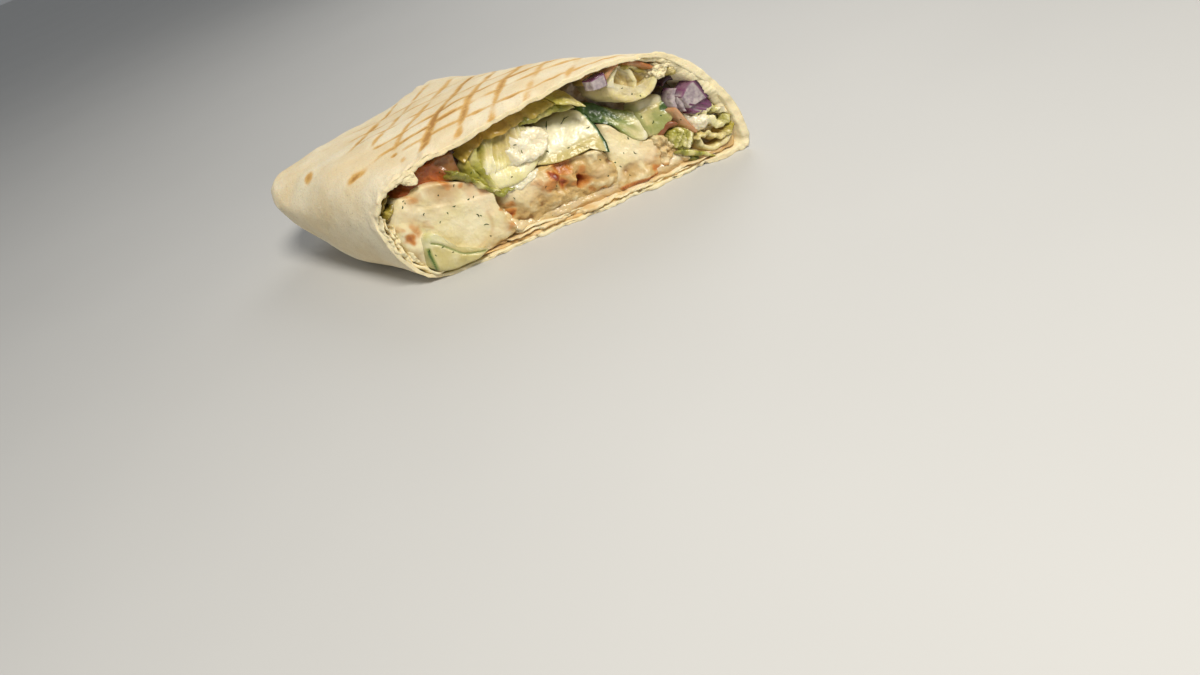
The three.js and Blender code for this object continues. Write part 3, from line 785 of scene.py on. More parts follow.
# Painted shade, darker with depth behind the cut.
sauce = cream.hollow(sauce, "#6B4A22", 4, 10, 0.85)
sauce = (cream.painted("shadow") * 0.9).tint(sauce, "#5A3E22")
flecks = cream.spots(1.5).between(0.14, 0.08) * cream.grain(5).between(0.5, 0.58)
sauce = (flecks * 0.7).tint(sauce, "#5B6A2C")
cream_look = cream.wear(sauce, relief=cloud * 0.6 + cream.grain(0.9), depth=0.25)


def pool(edge, lean, seed):
    """Sauce that has run over the pieces beside it."""
    return chunk(edge, 0.2, 14, lean=lean, soften=2.6, rough=0.3, grain=2.4, seed=seed, around=160,
                 rings=30, face=lambda x, z: 0.5 * noise_field(x, z, 2.6, seed), white=0.8)


shown("dressing", "dressing", cream_look,
      chunk(inset(outline(0, 60), 1.9), 1.9, 90, lean=0.36, soften=0.6, face=dressing_face, rough=0.4,
            grain=2.6, seed=4, around=320, rings=76, straight=True,
            # painted shade, low down and in the pocket near the thin end
            tan=most(patches([(60, 4, 30, 0.6), (98, 27, 6, 0.5), (84, 6, 8, 0.6)], seed=8),
                     lambda x, z: step(z, 6, 3)),
            shadow=patches([(7, 27, 5, 1.0), (93, 28, 3.4, 0.9), (99.6, 31, 2.6, 0.9),
                            (60.4, 10.8, 2.4, 1.2), (84.4, 14.8, 2, 1.0), (31, 33, 3, 1.0),
                            (35.6, 3.6, 2, 1.0)], 0.6, seed=9)),
      pool([(43.8, 23.6), (43.4, 27), (45, 30.4), (48.6, 32), (53.6, 31.2), (57.4, 28.6), (56.8, 25.4),
            (53, 23), (49, 22)], 0.42, 121),
      pool([(36.6, 17.2), (38.4, 19.4), (43, 20.4), (48.6, 20.6), (51.6, 19), (48, 17), (42, 16)], 0.2, 122),
      pool([(97.4, 11.6), (98, 14.4), (100.6, 15.4), (103.4, 14.2), (103.6, 11.8), (100.6, 10.6)], 0.1, 123))


# --- The halloumi ---
# Four pieces of firm white cheese, fried until the outside is orange-brown, then cut through with the
# wrap. The cut faces are smooth and moist, and they tear into fine strands at the edges.

cheese = Finish("halloumi", Roughness=0.36, Subsurface_Weight=0.2, Subsurface_Scale=0.002, Coat_Weight=0.15,
                Coat_Roughness=0.2, Subsurface_Radius=(1.0, 0.8, 0.5))
drift = cheese.grain(5, detail=3)
crumb = cheese.grain(0.8, detail=4, roughness=0.65)
curd = drift.between(0.3, 0.7).tint("#EBDDA9", "#F5EAC4")
# Partly browning from the frying and partly painted shade: under the top sheet at the blunt end, and under
# the cucumber's overhang on the middle piece.
curd = (cheese.painted("tanned") * (drift * 0.5 + 0.75)).tint(curd, "#C4965A")
curd = (cheese.painted("pink") * 0.5).tint(curd, "#F4D6AE")
torn = cheese.painted("torn")
# Torn cheese is painted brown in the grooves and cream on the ridges of its own relief: painted shade and
# painted highlight.
fibre = cheese.painted("fibre") + (crumb - 0.5) * 0.6
torn_curd = fibre.between(-0.8, -0.15).tint("#8E6228", "#CFAE70")
torn_curd = fibre.between(-0.05, 0.9).tint(torn_curd, "#EDDDB0")
curd = (torn * 0.95).tint(curd, torn_curd)
# Searing, and the near-black hole in the middle piece, which is painted shade.
seared = cheese.painted("sear") * (cheese.grain(1.8, detail=3) * 0.7 + 0.65)
curd = seared.between(0.1, 0.7).tint(curd, "#D08D45")
curd = seared.between(0.55, 1.1).tint(curd, "#963F20")
curd = seared.between(1.0, 1.45).tint(curd, "#3F1A10")
# Painted shade, darker with depth behind the cut.
curd = cheese.hollow(curd, "#5A3517", 3.4, 8, 0.85)
cheese_look = cheese.wear(curd, relief=crumb * 0.6 + drift * 0.3, depth=0.3)


def cheese_fibre(x, z, seed=300):
    """Torn cheese: soft lumps, with a few strands and flakes that slope down towards the thin end."""
    lumps = 0.62 * noise_field(x, z, 3.4, seed) + 0.34 * noise_field(x, z, 1.5, seed + 1)
    return lumps + 0.34 * folds(x, z, -20, 6, 1.5, seed + 2) * (0.6 + noise_field(x, z, 7, seed + 3))


def blunt_end_torn(x, z):
    """Where the cheese of the blunt end has torn instead of being cut: down its sides and along its foot."""
    edge = np.maximum(step(x, 9, 5) * step(z, 14, 10), step(x, 33.5, 35.4) * step(z, 16, 12))
    return np.maximum(edge, step(z, 4.4, 3.2) * step(x, 26, 30))


def blunt_end_face(x, z):
    """A ledge across it, lumps at its left, an ear that stands out at its right and crust on its top."""
    ledge = np.interp(x, [4, 9, 13, 20, 25, 30, 36], [17, 21, 23.2, 21.4, 20, 19.2, 19])
    below = 0.35 * step(z - ledge, 0.7, -0.7) * step(x, 8, 14)
    lumps = 0.8 * mound(x, z, 8, 12, 3) + 0.7 * mound(x, z, 7, 18.6, 2.4)
    lumps = lumps - 1.1 * mound(x, z, 12, 15.6, 1.6, 2.4)
    ridge = np.interp(z, [3, 6, 9, 14], [24, 26.6, 29.4, 31])
    ear = 0.45 * step(x - ridge, -0.5, 1.4) * step(z, 16, 12) * step(z, 4, 6)
    crust = 0.6 * step(z, 25.5, 27.5) * step(x, 16, 22) * step(x, 31, 27)
    return (below + lumps + ear + crust + 0.3 * noise_field(x, z, 5, 75) - 0.5 * step(z, 4.6, 3)
            + 0.6 * blunt_end_torn(x, z) * cheese_fibre(x, z))


shown("halloumi_blunt_end", "halloumi", cheese_look,
      chunk([(5.6, 8), (4.4, 14), (4.4, 19.4), (6.4, 24.4), (9.4, 27.6), (13, 27.6), (17, 28.9), (22, 28.2),
             (26, 26.4), (30, 25), (33, 22), (35, 19), (35.2, 14.5), (35.8, 9.6), (37.2, 5.2), (34, 3.6),
             (30.5, 2.4), (24, 2), (16, 2.4), (10, 3.2)], 0.9, 66, soften=1.3, face=blunt_end_face,
            rough=0.14, grain=3.2, seed=6, around=320, rings=60,
            sear=patches([(7, 15.8, 2.1, 0.8), (9.8, 17.4, 2.2, 0.5), (13.4, 17, 1.8, 0.34),
                          (5.4, 19.6, 1.2, 0.4), (32.6, 20.4, 2.2, 0.45), (31, 24, 1.8, 0.5),
                          (23.6, 27, 1.6, 0.6), (26.8, 25.6, 1.2, 0.55), (13, 26.6, 1.6, 0.45),
                          (35.4, 7.4, 1.6, 0.55), (35.6, 13, 1.2, 0.6)], 0.9, seed=2),
            tanned=most(patches([(22, 26, 5, 0.7), (13, 26.6, 2.6, 0.6), (29, 23.6, 2.6, 0.6),
                                 (10, 20, 2.4, 0.4), (35, 8, 2.4, 0.6), (17, 22.6, 4, 0.25),
                                 (28, 5.6, 2.6, 0.35)], 0.9, seed=4),
                        stripe([(24.4, 5), (28, 6.6), (30.4, 9.6), (31, 14)], 0.5, 0.4)),
            pink=patches([(31, 21, 4, 0.9), (33, 15, 2.6, 0.8), (9, 23, 4, 0.5), (32, 7, 3, 0.4)], seed=5),
            torn=blunt_end_torn, fibre=cheese_fibre))


def middle_torn(x, z):
    """Only two patches of the middle cheese were cut smooth, the rest has torn."""
    smooth = np.maximum(mound(x, z, 44, 15.6, 7.5, 4.4, 2), 0.85 * mound(x, z, 66.6, 11.4, 2.8, 2.6, 2))
    return 1 - smooth


def middle_face(x, z):
    """A smooth slab, a bulge under it, crust and a lobe beside a hole, and a part that stands out again."""
    slab = 1.0 * mound(x, z, 45, 14.6, 7, 4.4, 1.6)
    bulge = 1.5 * mound(x, z, 51, 9, 4.4, 2.2, 1.3)
    crust = 1.5 * mound(x, z, 51.6, 15.4, 3.6, 3.2, 1.3)
    lobe = 2.0 * mound(x, z, 57.4, 12, 1.4, 2.2)
    hole = 5.5 * mound(x, z, 60.5, 10.8, 1.7, 1.6, 1.6)
    far_part = 1.4 * mound(x, z, 66, 11.5, 3.6, 3.2)
    notch = 1.8 * mound(x, z, 37, 10, 1.4, 2.8) + 1.6 * mound(x, z, 58, 17.6, 6, 1.4)
    under = 1.0 * step(z, 7, 4)
    return (slab + bulge + crust + lobe - hole + far_part - notch - under + 0.4 * noise_field(x, z, 4, 76)
            + 0.85 * middle_torn(x, z) * cheese_fibre(x, z))


shown("halloumi_middle", "halloumi", cheese_look,
      chunk([(36.2, 9), (36.8, 14), (38.6, 17.6), (43, 19), (48, 19.4), (52.5, 19.4), (58, 18.4),
             (64, 18.4), (69.5, 17.4), (71.4, 12.4), (71.4, 6.6), (70, 3.6), (63, 3.2), (55, 3.4), (47, 4),
             (40, 4.8)], 1.4, 66, soften=1.2, face=middle_face, rough=0.2, grain=2.2, seed=16, around=340,
            rings=64,
            sear=patches([(52.4, 16.2, 2.2, 1.1), (50.2, 14.6, 2.4, 0.72), (54.4, 13, 1.8, 1.0),
                          (47.4, 16, 1.6, 0.4), (57, 17.6, 3.6, 0.8), (57.6, 11.6, 1.4, 0.75),
                          # the patch at the hole, (60.5, 10.8), is painted shade
                          (60.5, 10.8, 2.4, 1.5), (37.6, 10, 1.7, 0.9), (38, 13, 1.2, 0.6),
                          (63, 7.4, 1.6, 0.5), (66.4, 5.4, 1.8, 0.6), (61.4, 14, 1.2, 0.6)], 0.9, 12),
            tanned=patches([(48, 9.4, 6, 0.85), (62, 15, 8, 0.8), (40, 8.4, 3.4, 0.8), (50, 13, 4, 0.7),
                            (66, 7, 6, 0.8)], seed=13),
            pink=patches([(43, 17, 5, 0.8), (49.6, 18.6, 3, 0.9), (62, 12, 3, 0.5)], seed=15),
            torn=middle_torn, fibre=cheese_fibre))


def tip_side_torn(x, z):
    """The foot of this piece and its right side have torn."""
    return np.maximum(step(z - 1.6 * noise_field(x, z, 4, 79), 9.4, 6), step(x, 83.8, 85.2))


def tip_side_face(x, z):
    """The upper part stands a little in front of the torn foot."""
    edge = z - 1.3 * noise_field(x, z, 4, 79)
    upper = 0.7 * step(edge, 7, 9.4)
    low = 0.9 * mound(x, z, 79.4, 5.4, 4, 2)
    return upper + low + 0.3 * noise_field(x, z, 4, 77) + 0.8 * tip_side_torn(x, z) * cheese_fibre(x, z)


shown("halloumi_tip_side", "halloumi", cheese_look,
      chunk([(70.4, 3.4), (70, 10), (70.2, 16), (70.6, 20.6), (71.4, 23.2), (73.6, 22.2), (76.2, 19.4),
             (79, 16.4), (81.6, 14.2), (84.4, 13.3), (85.4, 10.4), (85, 5.6), (82.4, 3), (77, 2.8)], 0.9,
            66, lean=0.22, soften=1.4, face=tip_side_face, rough=0.16, grain=2.6, seed=26, around=300,
            rings=54,
            sear=most(patches([(82.6, 5.6, 1.6, 0.75), (73, 20.6, 1.5, 0.3), (80.6, 14.6, 1.2, 0.3),
                               (84.6, 9, 0.9, 0.5)], seed=22),
                      stripe([(71, 3.6), (76, 3.4), (80, 3.2), (86, 4)], 0.8, 0.95)),
            tanned=patches([(75, 5, 5.4, 0.8), (82, 5.4, 4.4, 0.8), (84.8, 10, 1.4, 0.7)], seed=23),
            pink=patches([(76, 16, 5, 0.3), (82.6, 11.6, 3.6, 0.9), (73.6, 20, 2, 0.7)], seed=25),
            torn=tip_side_torn, fibre=cheese_fibre))

shown("halloumi_end", "halloumi", cheese_look,
      chunk([(84.6, 2.4), (85.2, 8), (84.8, 13), (86.4, 14.6), (88.4, 12.6), (90.2, 8.6), (92.4, 5.6),
             (92.6, 2.8), (88.4, 2.2)], 1.8, 60, soften=1.0, rough=0.35, grain=1.3, seed=36, around=200,
            rings=34, face=lambda x, z: 0.9 * noise_field(x, z, 1.6, 78) + 0.6 * cheese_fibre(x, z, 310),
            sear=patches([(85, 3.4, 1.4, 0.6)], seed=32), tanned=patches([(89, 6, 6, 0.9)], seed=33),
            pink=patches([(86, 9, 3, 0.3)], seed=35), torn=0.8,
            fibre=lambda x, z: 0.35 + cheese_fibre(x, z, 310)))


# --- The cucumber ---
# Four sticks and slices of fresh cucumber: pale wet flesh, a thin dark green skin on the outer side,
# and a slightly deeper green just under it.

cucumber = Finish("cucumber", Roughness=0.36, Subsurface_Weight=0.25, Subsurface_Scale=0.003,
                  Coat_Weight=0.18, Coat_Roughness=0.16, Subsurface_Radius=(0.9, 1.0, 0.5))
veil = cucumber.grain(3.5, detail=3)
fibre = cucumber.grain(1.0, detail=3, stretch=(1, 1, 0.5))
flesh = veil.between(0.3, 0.7).tint("#DCD49B", "#EAE5BE")
flesh = (fibre.between(0.5, 0.68) * 0.3).tint(flesh, "#C6C27A")
flesh = (cucumber.painted("cream") * 0.85).tint(flesh, "#EFE8CC")
flesh = (cucumber.painted("yellow") * (veil * 0.5 + 0.6)).tint(flesh, "#C2B066")
flesh = cucumber.painted("green").between(0.1, 0.75).tint(flesh, "#929A55")
flesh = (cucumber.painted("green") + veil * 0.3).between(0.75, 1.25).tint(flesh, "#3F5A20")
flesh = cucumber.painted("skin").between(0.3, 0.7).tint(flesh, "#4B6A2A")
flesh = (cucumber.painted("skin") + veil * 0.25).between(0.8, 1.1).tint(flesh, "#22401A")
# Painted shade, darker with depth behind the cut.
flesh = cucumber.hollow(flesh, "#5E5A22", 9, 16, 0.6)
cucumber_look = cucumber.wear(flesh, relief=veil * 0.7 + fibre * 0.3, depth=0.25)

wedge_top = [(12.4, 12.4), (14.6, 11), (16.8, 8.6), (19.4, 6), (23, 4.6), (26, 3.8)]
shown("cucumber_wedge", "cucumber", cucumber_look,
      chunk([(27.6, 3.8), (23.6, 5.2), (19.8, 7.2), (17, 10.2), (15.8, 13.2), (14.2, 15.2), (11.8, 15),
             (10.4, 12.6), (9.8, 8.4), (10, 4.6), (13, 2.6), (18, 2), (24, 2.4)], -2.2, 46, lean=0.1,
            soften=1.0, rough=0.12, grain=3, seed=41, around=240, rings=40,
            face=lambda x, z: (0.5 * mound(x, z, 17, 6, 6, 3.4) + 0.25 * noise_field(x, z, 4, 81)
                               - 0.5 * near_line(x, z, wedge_top, 0.5)),
            cream=patches([(16, 7, 3, 0.4), (15, 15, 2.4, 0.8)], seed=42),
            # its lower part is painted yellower and darker: partly the flesh's own colour and partly painted
            # shade
            yellow=lambda x, z: step(z, 12.4, 10.4) * (0.7 + 0.3 * noise_field(x, z, 3, 43)),
            green=most(stripe(wedge_top, 0.4, 0.7), stripe([(10.4, 3.4), (10.3, 8), (10.8, 11)], 0.7, 0.8),
                       lambda x, z: 0.3 * step(z, 11, 13.6)),
            skin=stripe([(10.3, 4), (10.2, 8.4), (10.6, 10.6)], 0.35, 0.75)))

front_skin = [(68.8, 27.6), (70, 25), (70.8, 22), (71.1, 19.4), (70.9, 16.8)]
shown("cucumber_front", "cucumber", cucumber_look,
      chunk([(47, 21.9), (47.6, 25), (51, 27.6), (55, 29.4), (62, 29.6), (66, 29.2), (69, 27.6),
             (70.4, 25.2), (71.3, 22), (71.8, 19.4), (71.6, 16.4), (69.5, 18.1), (67, 18.8), (62, 18.9),
             (56, 19), (50, 20.4)], -1.2, 32, lean=0.85, soften=1.2, rough=0.13, grain=3.4, seed=43,
            around=260, rings=40,
            face=lambda x, z: (0.7 * mound(x, z, 60, 24, 9, 4, 1.4) + 0.3 * noise_field(x, z, 3.4, 82)
                               - 0.35 * mound(x, z, 62, 21.4, 9, 0.7)),
            cream=patches([(57, 24.6, 6, 0.9), (66, 24.6, 4, 0.7), (49, 23.6, 3, 0.8)], seed=44),
            yellow=lambda x, z: step(z - 0.06 * (x - 60), 22.8, 20.6) * step(x, 48, 52),
            green=most(stripe([(54, 20.2), (60, 19.6), (67, 19.6), (71, 17.8)], 0.8, 0.16),
                       stripe(front_skin, 1.5, 0.5)), skin=stripe(front_skin, 1.0, 1.1)))


def behind_green(x, z):
    """How green the slice is, from the skin at its top left to the flesh at its lower right."""
    across = (x - 71) * 0.77 - (z - 28) * 0.64
    stripes = 0.16 * np.sin(2.4 * (0.64 * (x - 71) + 0.77 * (z - 28)) + 0.3 * across)
    return np.clip(1.42 - 0.085 * across + stripes * step(across, 2, 5), 0, 1.4)


far_edge = [(83.6, 22), (83.4, 18.4), (82.4, 15)]
shown("cucumber_behind", "cucumber", cucumber_look,
      chunk([(68, 28.6), (71, 29.4), (75, 26.8), (80, 23.8), (83.9, 21.8), (84.2, 18), (83.6, 14.4),
             (80, 15.4), (77.6, 18), (75, 21.2), (71.4, 23.4), (68, 25.4)], 1.9, 66, lean=0.5, soften=1.0,
            rough=0.14, grain=3, seed=45, around=200, rings=34,
            face=lambda x, z: 0.3 * noise_field(x, z, 3.4, 83) + 0.5 * mound(x, z, 79, 20, 4, 3),
            cream=stripe(far_edge, 0.5), yellow=patches([(79, 18, 4, 0.5)], seed=46),
            green=lambda x, z: behind_green(x, z) * (1 - near_line(x, z, far_edge, 0.6)),
            skin=stripe([(68, 29), (71, 29.6), (75, 27.2)], 1.0, 0.55)))

shown("cucumber_tip_side", "cucumber", cucumber_look,
      chunk([(83, 15.4), (82.6, 19), (82.4, 22.8), (85, 24.6), (89, 24.9), (91.4, 24.2), (92.8, 21.6),
             (93, 18.4), (91.4, 16), (88, 14.8), (85.4, 14.2)], 2.5, 66, lean=0.35, soften=1.2, rough=0.14,
            grain=3, seed=47, around=180, rings=32,
            face=lambda x, z: 0.6 * step(z, 22.6, 21.6) + 0.3 * noise_field(x, z, 3, 84),
            cream=lambda x, z: step(z, 21.6, 23) * 0.9,
            yellow=lambda x, z: 0.75 + 0.2 * noise_field(x, z, 3, 85) - 0.5 * step(z, 22, 23),
            green=most(patches([(88, 17, 5, 0.6), (91.6, 21.4, 2.4, 1.2), (83.6, 17, 2, 0.6)], seed=49),
                       lambda x, z: 0.5 * step(x, 85, 83)),
            skin=stripe([(91.8, 24), (93.2, 21.4), (92.8, 18)], 0.7, 0.5)))


# --- The salad leaves ---
# A pale lettuce heart with thick ribs, loose leaves round it, and a curled green leaf at the thin end.
# They were torn by hand and dressed, so their edges are ragged and their faces wet.

lettuce = Finish("lettuce", Roughness=0.3, Subsurface_Weight=0.3, Subsurface_Scale=0.0025, Coat_Weight=0.3,
                 Coat_Roughness=0.15, Subsurface_Radius=(0.9, 1.0, 0.3))
cells = lettuce.grain(1.1, detail=4, roughness=0.6)
mottle = lettuce.grain(4.5, detail=3)
leaf = mottle.between(0.32, 0.68).tint("#DCD07E", "#EDE3A6")
leaf = (lettuce.painted("pale") * (mottle * 0.5 + 0.6)).tint(leaf, "#F7F0CC")
green = lettuce.painted("green") * (cells * 0.6 + 0.65)
leaf = green.between(0.1, 0.55).tint(leaf, "#A8A345")
leaf = green.between(0.5, 0.95).tint(leaf, "#4E5A1E")
# Warm brown painted shade: in the pocket under the top sheet, in the dark pocket at the blunt end, inside
# the curled leaf, and deeper behind the front edges of the leaves.
leaf = (lettuce.painted("amber") * (mottle * 0.5 + 0.6)).tint(leaf, "#C28B3E")
leaf = (cells.between(0.55, 0.75) * 0.25).tint(leaf, "#9A9448")
# Painted shade, darker with depth behind the cut.
leaf = lettuce.hollow(leaf, "#4A3D12", 7, 14, 0.8)
lettuce_look = lettuce.wear(leaf, relief=cells * 0.6 + mottle * 0.6, depth=0.35)


def heart_ribs(x, z):
    """Ribs that stand close together, leaning a little towards the thin end."""
    return folds(x, z, 64 + 0.6 * (x - 40), 10, 1.25, 92) * step(z, 21, 25)


def heart_face(x, z):
    """Ribs above, and a knob at the foot with a crease over it."""
    knob = 0.9 * mound(x, z, 42.6, 20.6, 4.4, 2.4, 1.5) + 0.7 * mound(x, z, 38, 25, 2.6, 2.6)
    crease = 0.6 * mound(x, z, 42, 23.4, 6, 0.7)
    return 0.55 * heart_ribs(x, z) + knob + 0.2 * noise_field(x, z, 3, 91) - crease


heart_shine = patches([(37.6, 25, 2.6, 0.8), (47, 24, 4, 0.8)], seed=51)
shown("lettuce_heart", "lettuce", lettuce_look,
      chunk([(34.8, 20), (34.4, 24), (35, 29), (37.6, 32.6), (43, 34), (49, 33.6), (52.8, 30.4),
             (53.2, 25.4), (51, 21), (46, 18.6), (40.6, 18), (37, 18.6)], 0.5, 50, lean=0.3, soften=1.6,
            rough=0.1, grain=2.4, seed=51, face=heart_face, around=300, rings=56,
            pale=lambda x, z: np.clip(0.35 + 0.6 * heart_ribs(x, z) + heart_shine(x, z), 0, 1),
            green=most(patches([(42.6, 20.4, 3.4, 0.2), (42, 32.4, 5, 0.42), (36, 30.6, 3, 0.5)], 0.5, 52),
                       lambda x, z: 0.12 - 0.34 * heart_ribs(x, z) * step(z, 24, 27)),
            amber=patches([(44, 31, 5, 0.35), (37.6, 29.4, 2, 0.3)], seed=50)),
      ribbon([(40, 17.4), (36.4, 18.9), (34, 22), (32.4, 26), (32, 29.6), (33.4, 32.4)],
             [1.2, 1.8, 2.6, 2.4, 1.4], 1.0, 40, lean=0.2, ruffle=0.6, wave=4, seed=53,
             pale=lambda u, d: 0.15 * np.sin(math.pi * u),
             green=lambda u, d: 0.42 + 0.2 * np.exp(-d / 1.2) + 0.12 * np.sin(13 * u),
             amber=lambda u, d: 0.25 * step(u, 0.6, 0.9)),
      ribbon([(37.4, 18.4), (36, 21.4), (34.8, 25), (34.6, 28.8), (36, 32)], [1, 1.9, 2.4, 1.2], 0.3, 44,
             lean=0.26, ruffle=0.5, wave=4, seed=54, pale=lambda u, d: 0.3 + 0.3 * np.sin(math.pi * u),
             green=lambda u, d: 0.3 + 0.2 * np.exp(-d / 0.8) - 0.15 * np.sin(9 * u)),
      ribbon([(33.6, 21.6), (36, 18.6), (38.4, 17.4), (41.6, 17.6)], [0.5, 1.2, 1.4, 0.6], -0.4, 20,
             lean=0.3, ruffle=0.7, wave=2.2, seed=55, pale=0.1,
             green=lambda u, d: 0.5 + 0.2 * np.exp(-d / 0.8)),
      ribbon([(44, 30.4), (46, 27.8), (47.6, 25), (50, 22.6)], [0.8, 1.4, 1.2, 0.6], 2.6, 30, lean=0.3,
             ruffle=0.5, wave=3, seed=56, pale=0.8, green=lambda u, d: 0.05 + 0.2 * np.exp(-d / 0.8)))

# The top leaves lie under the top sheet: their darker olive is partly their own colour and partly painted
# shade, and their warm brown is painted shade.
shown("lettuce_top_leaf", "lettuce", lettuce_look,
      ribbon([(30.6, 29.6), (35, 32.2), (43, 33.6), (51, 34.4), (58, 34.6), (64, 34.2), (68, 33.4)],
             [0.8, 1.2, 1.2, 1.2, 1.0], 3.4, 40, rise=5, lean=0.1, ruffle=0.8, wave=6, ragged=1.6, seed=57,
             green=lambda u, d: 0.55 + 0.15 * np.sin(9 * u) - 0.25 * step(u, 0.8, 1),
             amber=lambda u, d: 0.5 + 0.2 * np.sin(5 * u)),
      ribbon([(62, 35.2), (65.4, 34.4), (67.4, 32.6), (69.4, 31.2)], [0.6, 0.8, 1.0, 0.6], 1.6, 22, rise=4,
             ruffle=0.4, wave=5, ragged=0.8, seed=58, pale=lambda u, d: 0.5 * np.exp(-d / 4),
             green=lambda u, d: 0.34 + 0.15 * step(u, 0.6, 0.2), amber=0.1),
      ribbon([(50, 32.6), (54.4, 32.8), (58, 32.6), (62, 32.6), (66.6, 31.4)], [1.4, 2.6, 2.2, 2.4, 1.0],
             4.6, 26, rise=3, ruffle=0.6, wave=3.4, ragged=1.4, seed=59,
             pale=lambda u, d: 0.2 * np.exp(-d / 2), green=lambda u, d: 0.5 + 0.22 * np.sin(11 * u),
             amber=lambda u, d: 0.3 * step(d, 1, 5)))

cup_edge = [(77.4, 31.8), (79.6, 29.4), (82.6, 28), (87, 28), (90.2, 29.6), (91.2, 31.6)]
shown("lettuce_curled_leaf", "lettuce", lettuce_look,
      chunk([(77.4, 33.4), (77.4, 31), (79.4, 28.8), (82.4, 27.1), (86.6, 26.8), (90.2, 28.2), (91.4, 30.8),
             (90.4, 31.6), (88.2, 29.4), (84.8, 28.5), (81.8, 29.2), (79.6, 31.2), (79.2, 33.6),
             (78.4, 34.6)], 0.9, 24, lean=0.15, soften=0.9, rough=0.12, grain=2.6, seed=60, around=220,
            rings=24,
            face=lambda x, z: 0.3 * near_line(x, z, cup_edge, 1.2) + 0.2 * noise_field(x, z, 2.4, 93),
            pale=lambda x, z: 0.5 + 0.4 * noise_field(x, z, 3, 94),
            green=lambda x, z: 0.1 * step(x, 80, 78),
            amber=lambda x, z: 0.15 + 0.2 * noise_field(x, z, 3, 87)),
      # inside the curl, the fold ridges are painted paler and the grooves warm brown: painted light and
      # shade
      chunk([(77, 33), (79, 30), (84, 28.6), (89, 30), (91, 32.6), (89.6, 35), (86, 36.6), (81, 37.6),
             (78, 36.4)], 4.2, 20, soften=1.2, rough=0.2, grain=2.2, seed=76, around=150, rings=24,
            face=lambda x, z: 1.2 * folds(x, z, -62, 8, 2.0, 88),
            pale=lambda x, z: 0.3 + 0.5 * folds(x, z, -62, 8, 2.0, 88), green=0.05,
            amber=lambda x, z: 0.3 - 0.4 * folds(x, z, -62, 8, 2.0, 88)),
      # these folds turn warm brown further behind their front edges: painted shade
      ribbon([(81.6, 37.8), (79.8, 36.2), (79, 33.8), (79.6, 31.4), (81.6, 29.8)],
             [1.0, 2.0, 2.2, 1.6, 0.8], 1.5, 14, lean=0.1, ruffle=0.3, wave=3, ragged=0.4, seed=61,
             pale=lambda u, d: 0.85 - 0.3 * step(d, 1, 4), amber=lambda u, d: 0.5 * step(d, 1, 4)),
      ribbon([(81.4, 38), (83.6, 36.6), (85, 34), (85, 31.4), (84.2, 29.6)], [0.6, 1.1, 1.3, 1.2, 0.6], 2.0,
             14, lean=0.1, ruffle=0.4, wave=3, ragged=0.5, seed=77,
             pale=lambda u, d: 0.7 - 0.3 * step(d, 1, 4), amber=lambda u, d: 0.15 + 0.5 * step(d, 1, 4)),
      ribbon([(76.4, 34.4), (77.2, 36), (78.8, 37), (80.6, 37.8)], [0.6, 1.0, 1.0, 0.6], 2.2, 22,
             ruffle=0.4, wave=4, seed=62, pale=lambda u, d: 0.5 * np.exp(-d / 3), green=0.1,
             amber=lambda u, d: 0.15 + 0.6 * step(d, 0.6, 5)),
      ribbon([(82.6, 37.6), (85, 36.8), (87.4, 34.6), (90.4, 32.6)], [0.9, 1.6, 1.4, 0.8], 2.8, 20,
             rise=0.5, ruffle=0.7, wave=2.6, ragged=1.0, seed=63, pale=0.3,
             green=lambda u, d: 0.34 + 0.25 * np.sin(12 * u), amber=lambda u, d: 0.3 + 0.3 * step(d, 1, 5)),
      chunk([(95.2, 30.4), (95.2, 32.6), (96.8, 33), (98.2, 31.2), (97, 29.4)], 1.6, 8, soften=0.8,
            rough=0.3, grain=1.4, seed=64, around=90, rings=14, pale=0.4,
            green=lambda x, z: 0.3 + 0.3 * noise_field(x, z, 1.4, 96), amber=0.3))

shown("lettuce_dark_leaf", "lettuce", lettuce_look,
      ribbon([(26.4, 30.2), (27.6, 28), (30, 26.8), (32.2, 24.2), (33.8, 21.4)], [0.7, 2.6, 2.0, 1.2, 0.8],
             0.2, 20, ruffle=0.5, wave=2.0, ragged=1.0, seed=65, pale=lambda u, d: 0.35 * np.exp(-d / 0.5),
             green=lambda u, d: 0.78 - 0.3 * step(u, 0.5, 0.9), amber=0.1),
      ribbon([(31, 26), (33, 23), (35.4, 20.2), (37.6, 18), (39.6, 17)], [0.5, 1.1, 1.0, 0.6], -0.3, 16,
             ruffle=0.5, wave=2, ragged=1.0, seed=66, pale=0.1,
             green=lambda u, d: 0.45 + 0.3 * np.sin(16 * u)))

shown("lettuce_shred", "lettuce", lettuce_look,
      ribbon([(3.2, 22.4), (4.6, 24.6), (7.6, 26.8)], [0.8, 1.8, 1.0], 2.6, 26, ruffle=0.6, wave=2,
             ragged=1.2, seed=67, green=lambda u, d: 0.7 + 0.25 * np.sin(9 * u), amber=0.3),
      ribbon([(2.8, 25), (4, 27.2), (7, 29.6)], [0.6, 1.0, 0.6], 3.4, 20, ruffle=0.6, wave=2, ragged=1.2,
             seed=68, green=0.9, amber=0.35))

shown("lettuce_rib", "lettuce", lettuce_look,
      chunk([(90.2, 9.4), (90.4, 12.4), (92.6, 14), (95.4, 13), (96.6, 10.4), (95.4, 7.6), (93, 7)], 0.6,
            30, soften=1.4, rough=0.38, grain=1.5, seed=69, around=180, rings=30,
            face=lambda x, z: 0.7 * folds(x, z, 62, 3, 0.9, 97),
            pale=lambda x, z: 0.25 + 0.45 * folds(x, z, 62, 3, 0.9, 97),
            green=lambda x, z: 0.42 - 0.25 * folds(x, z, 62, 3, 0.9, 97)))

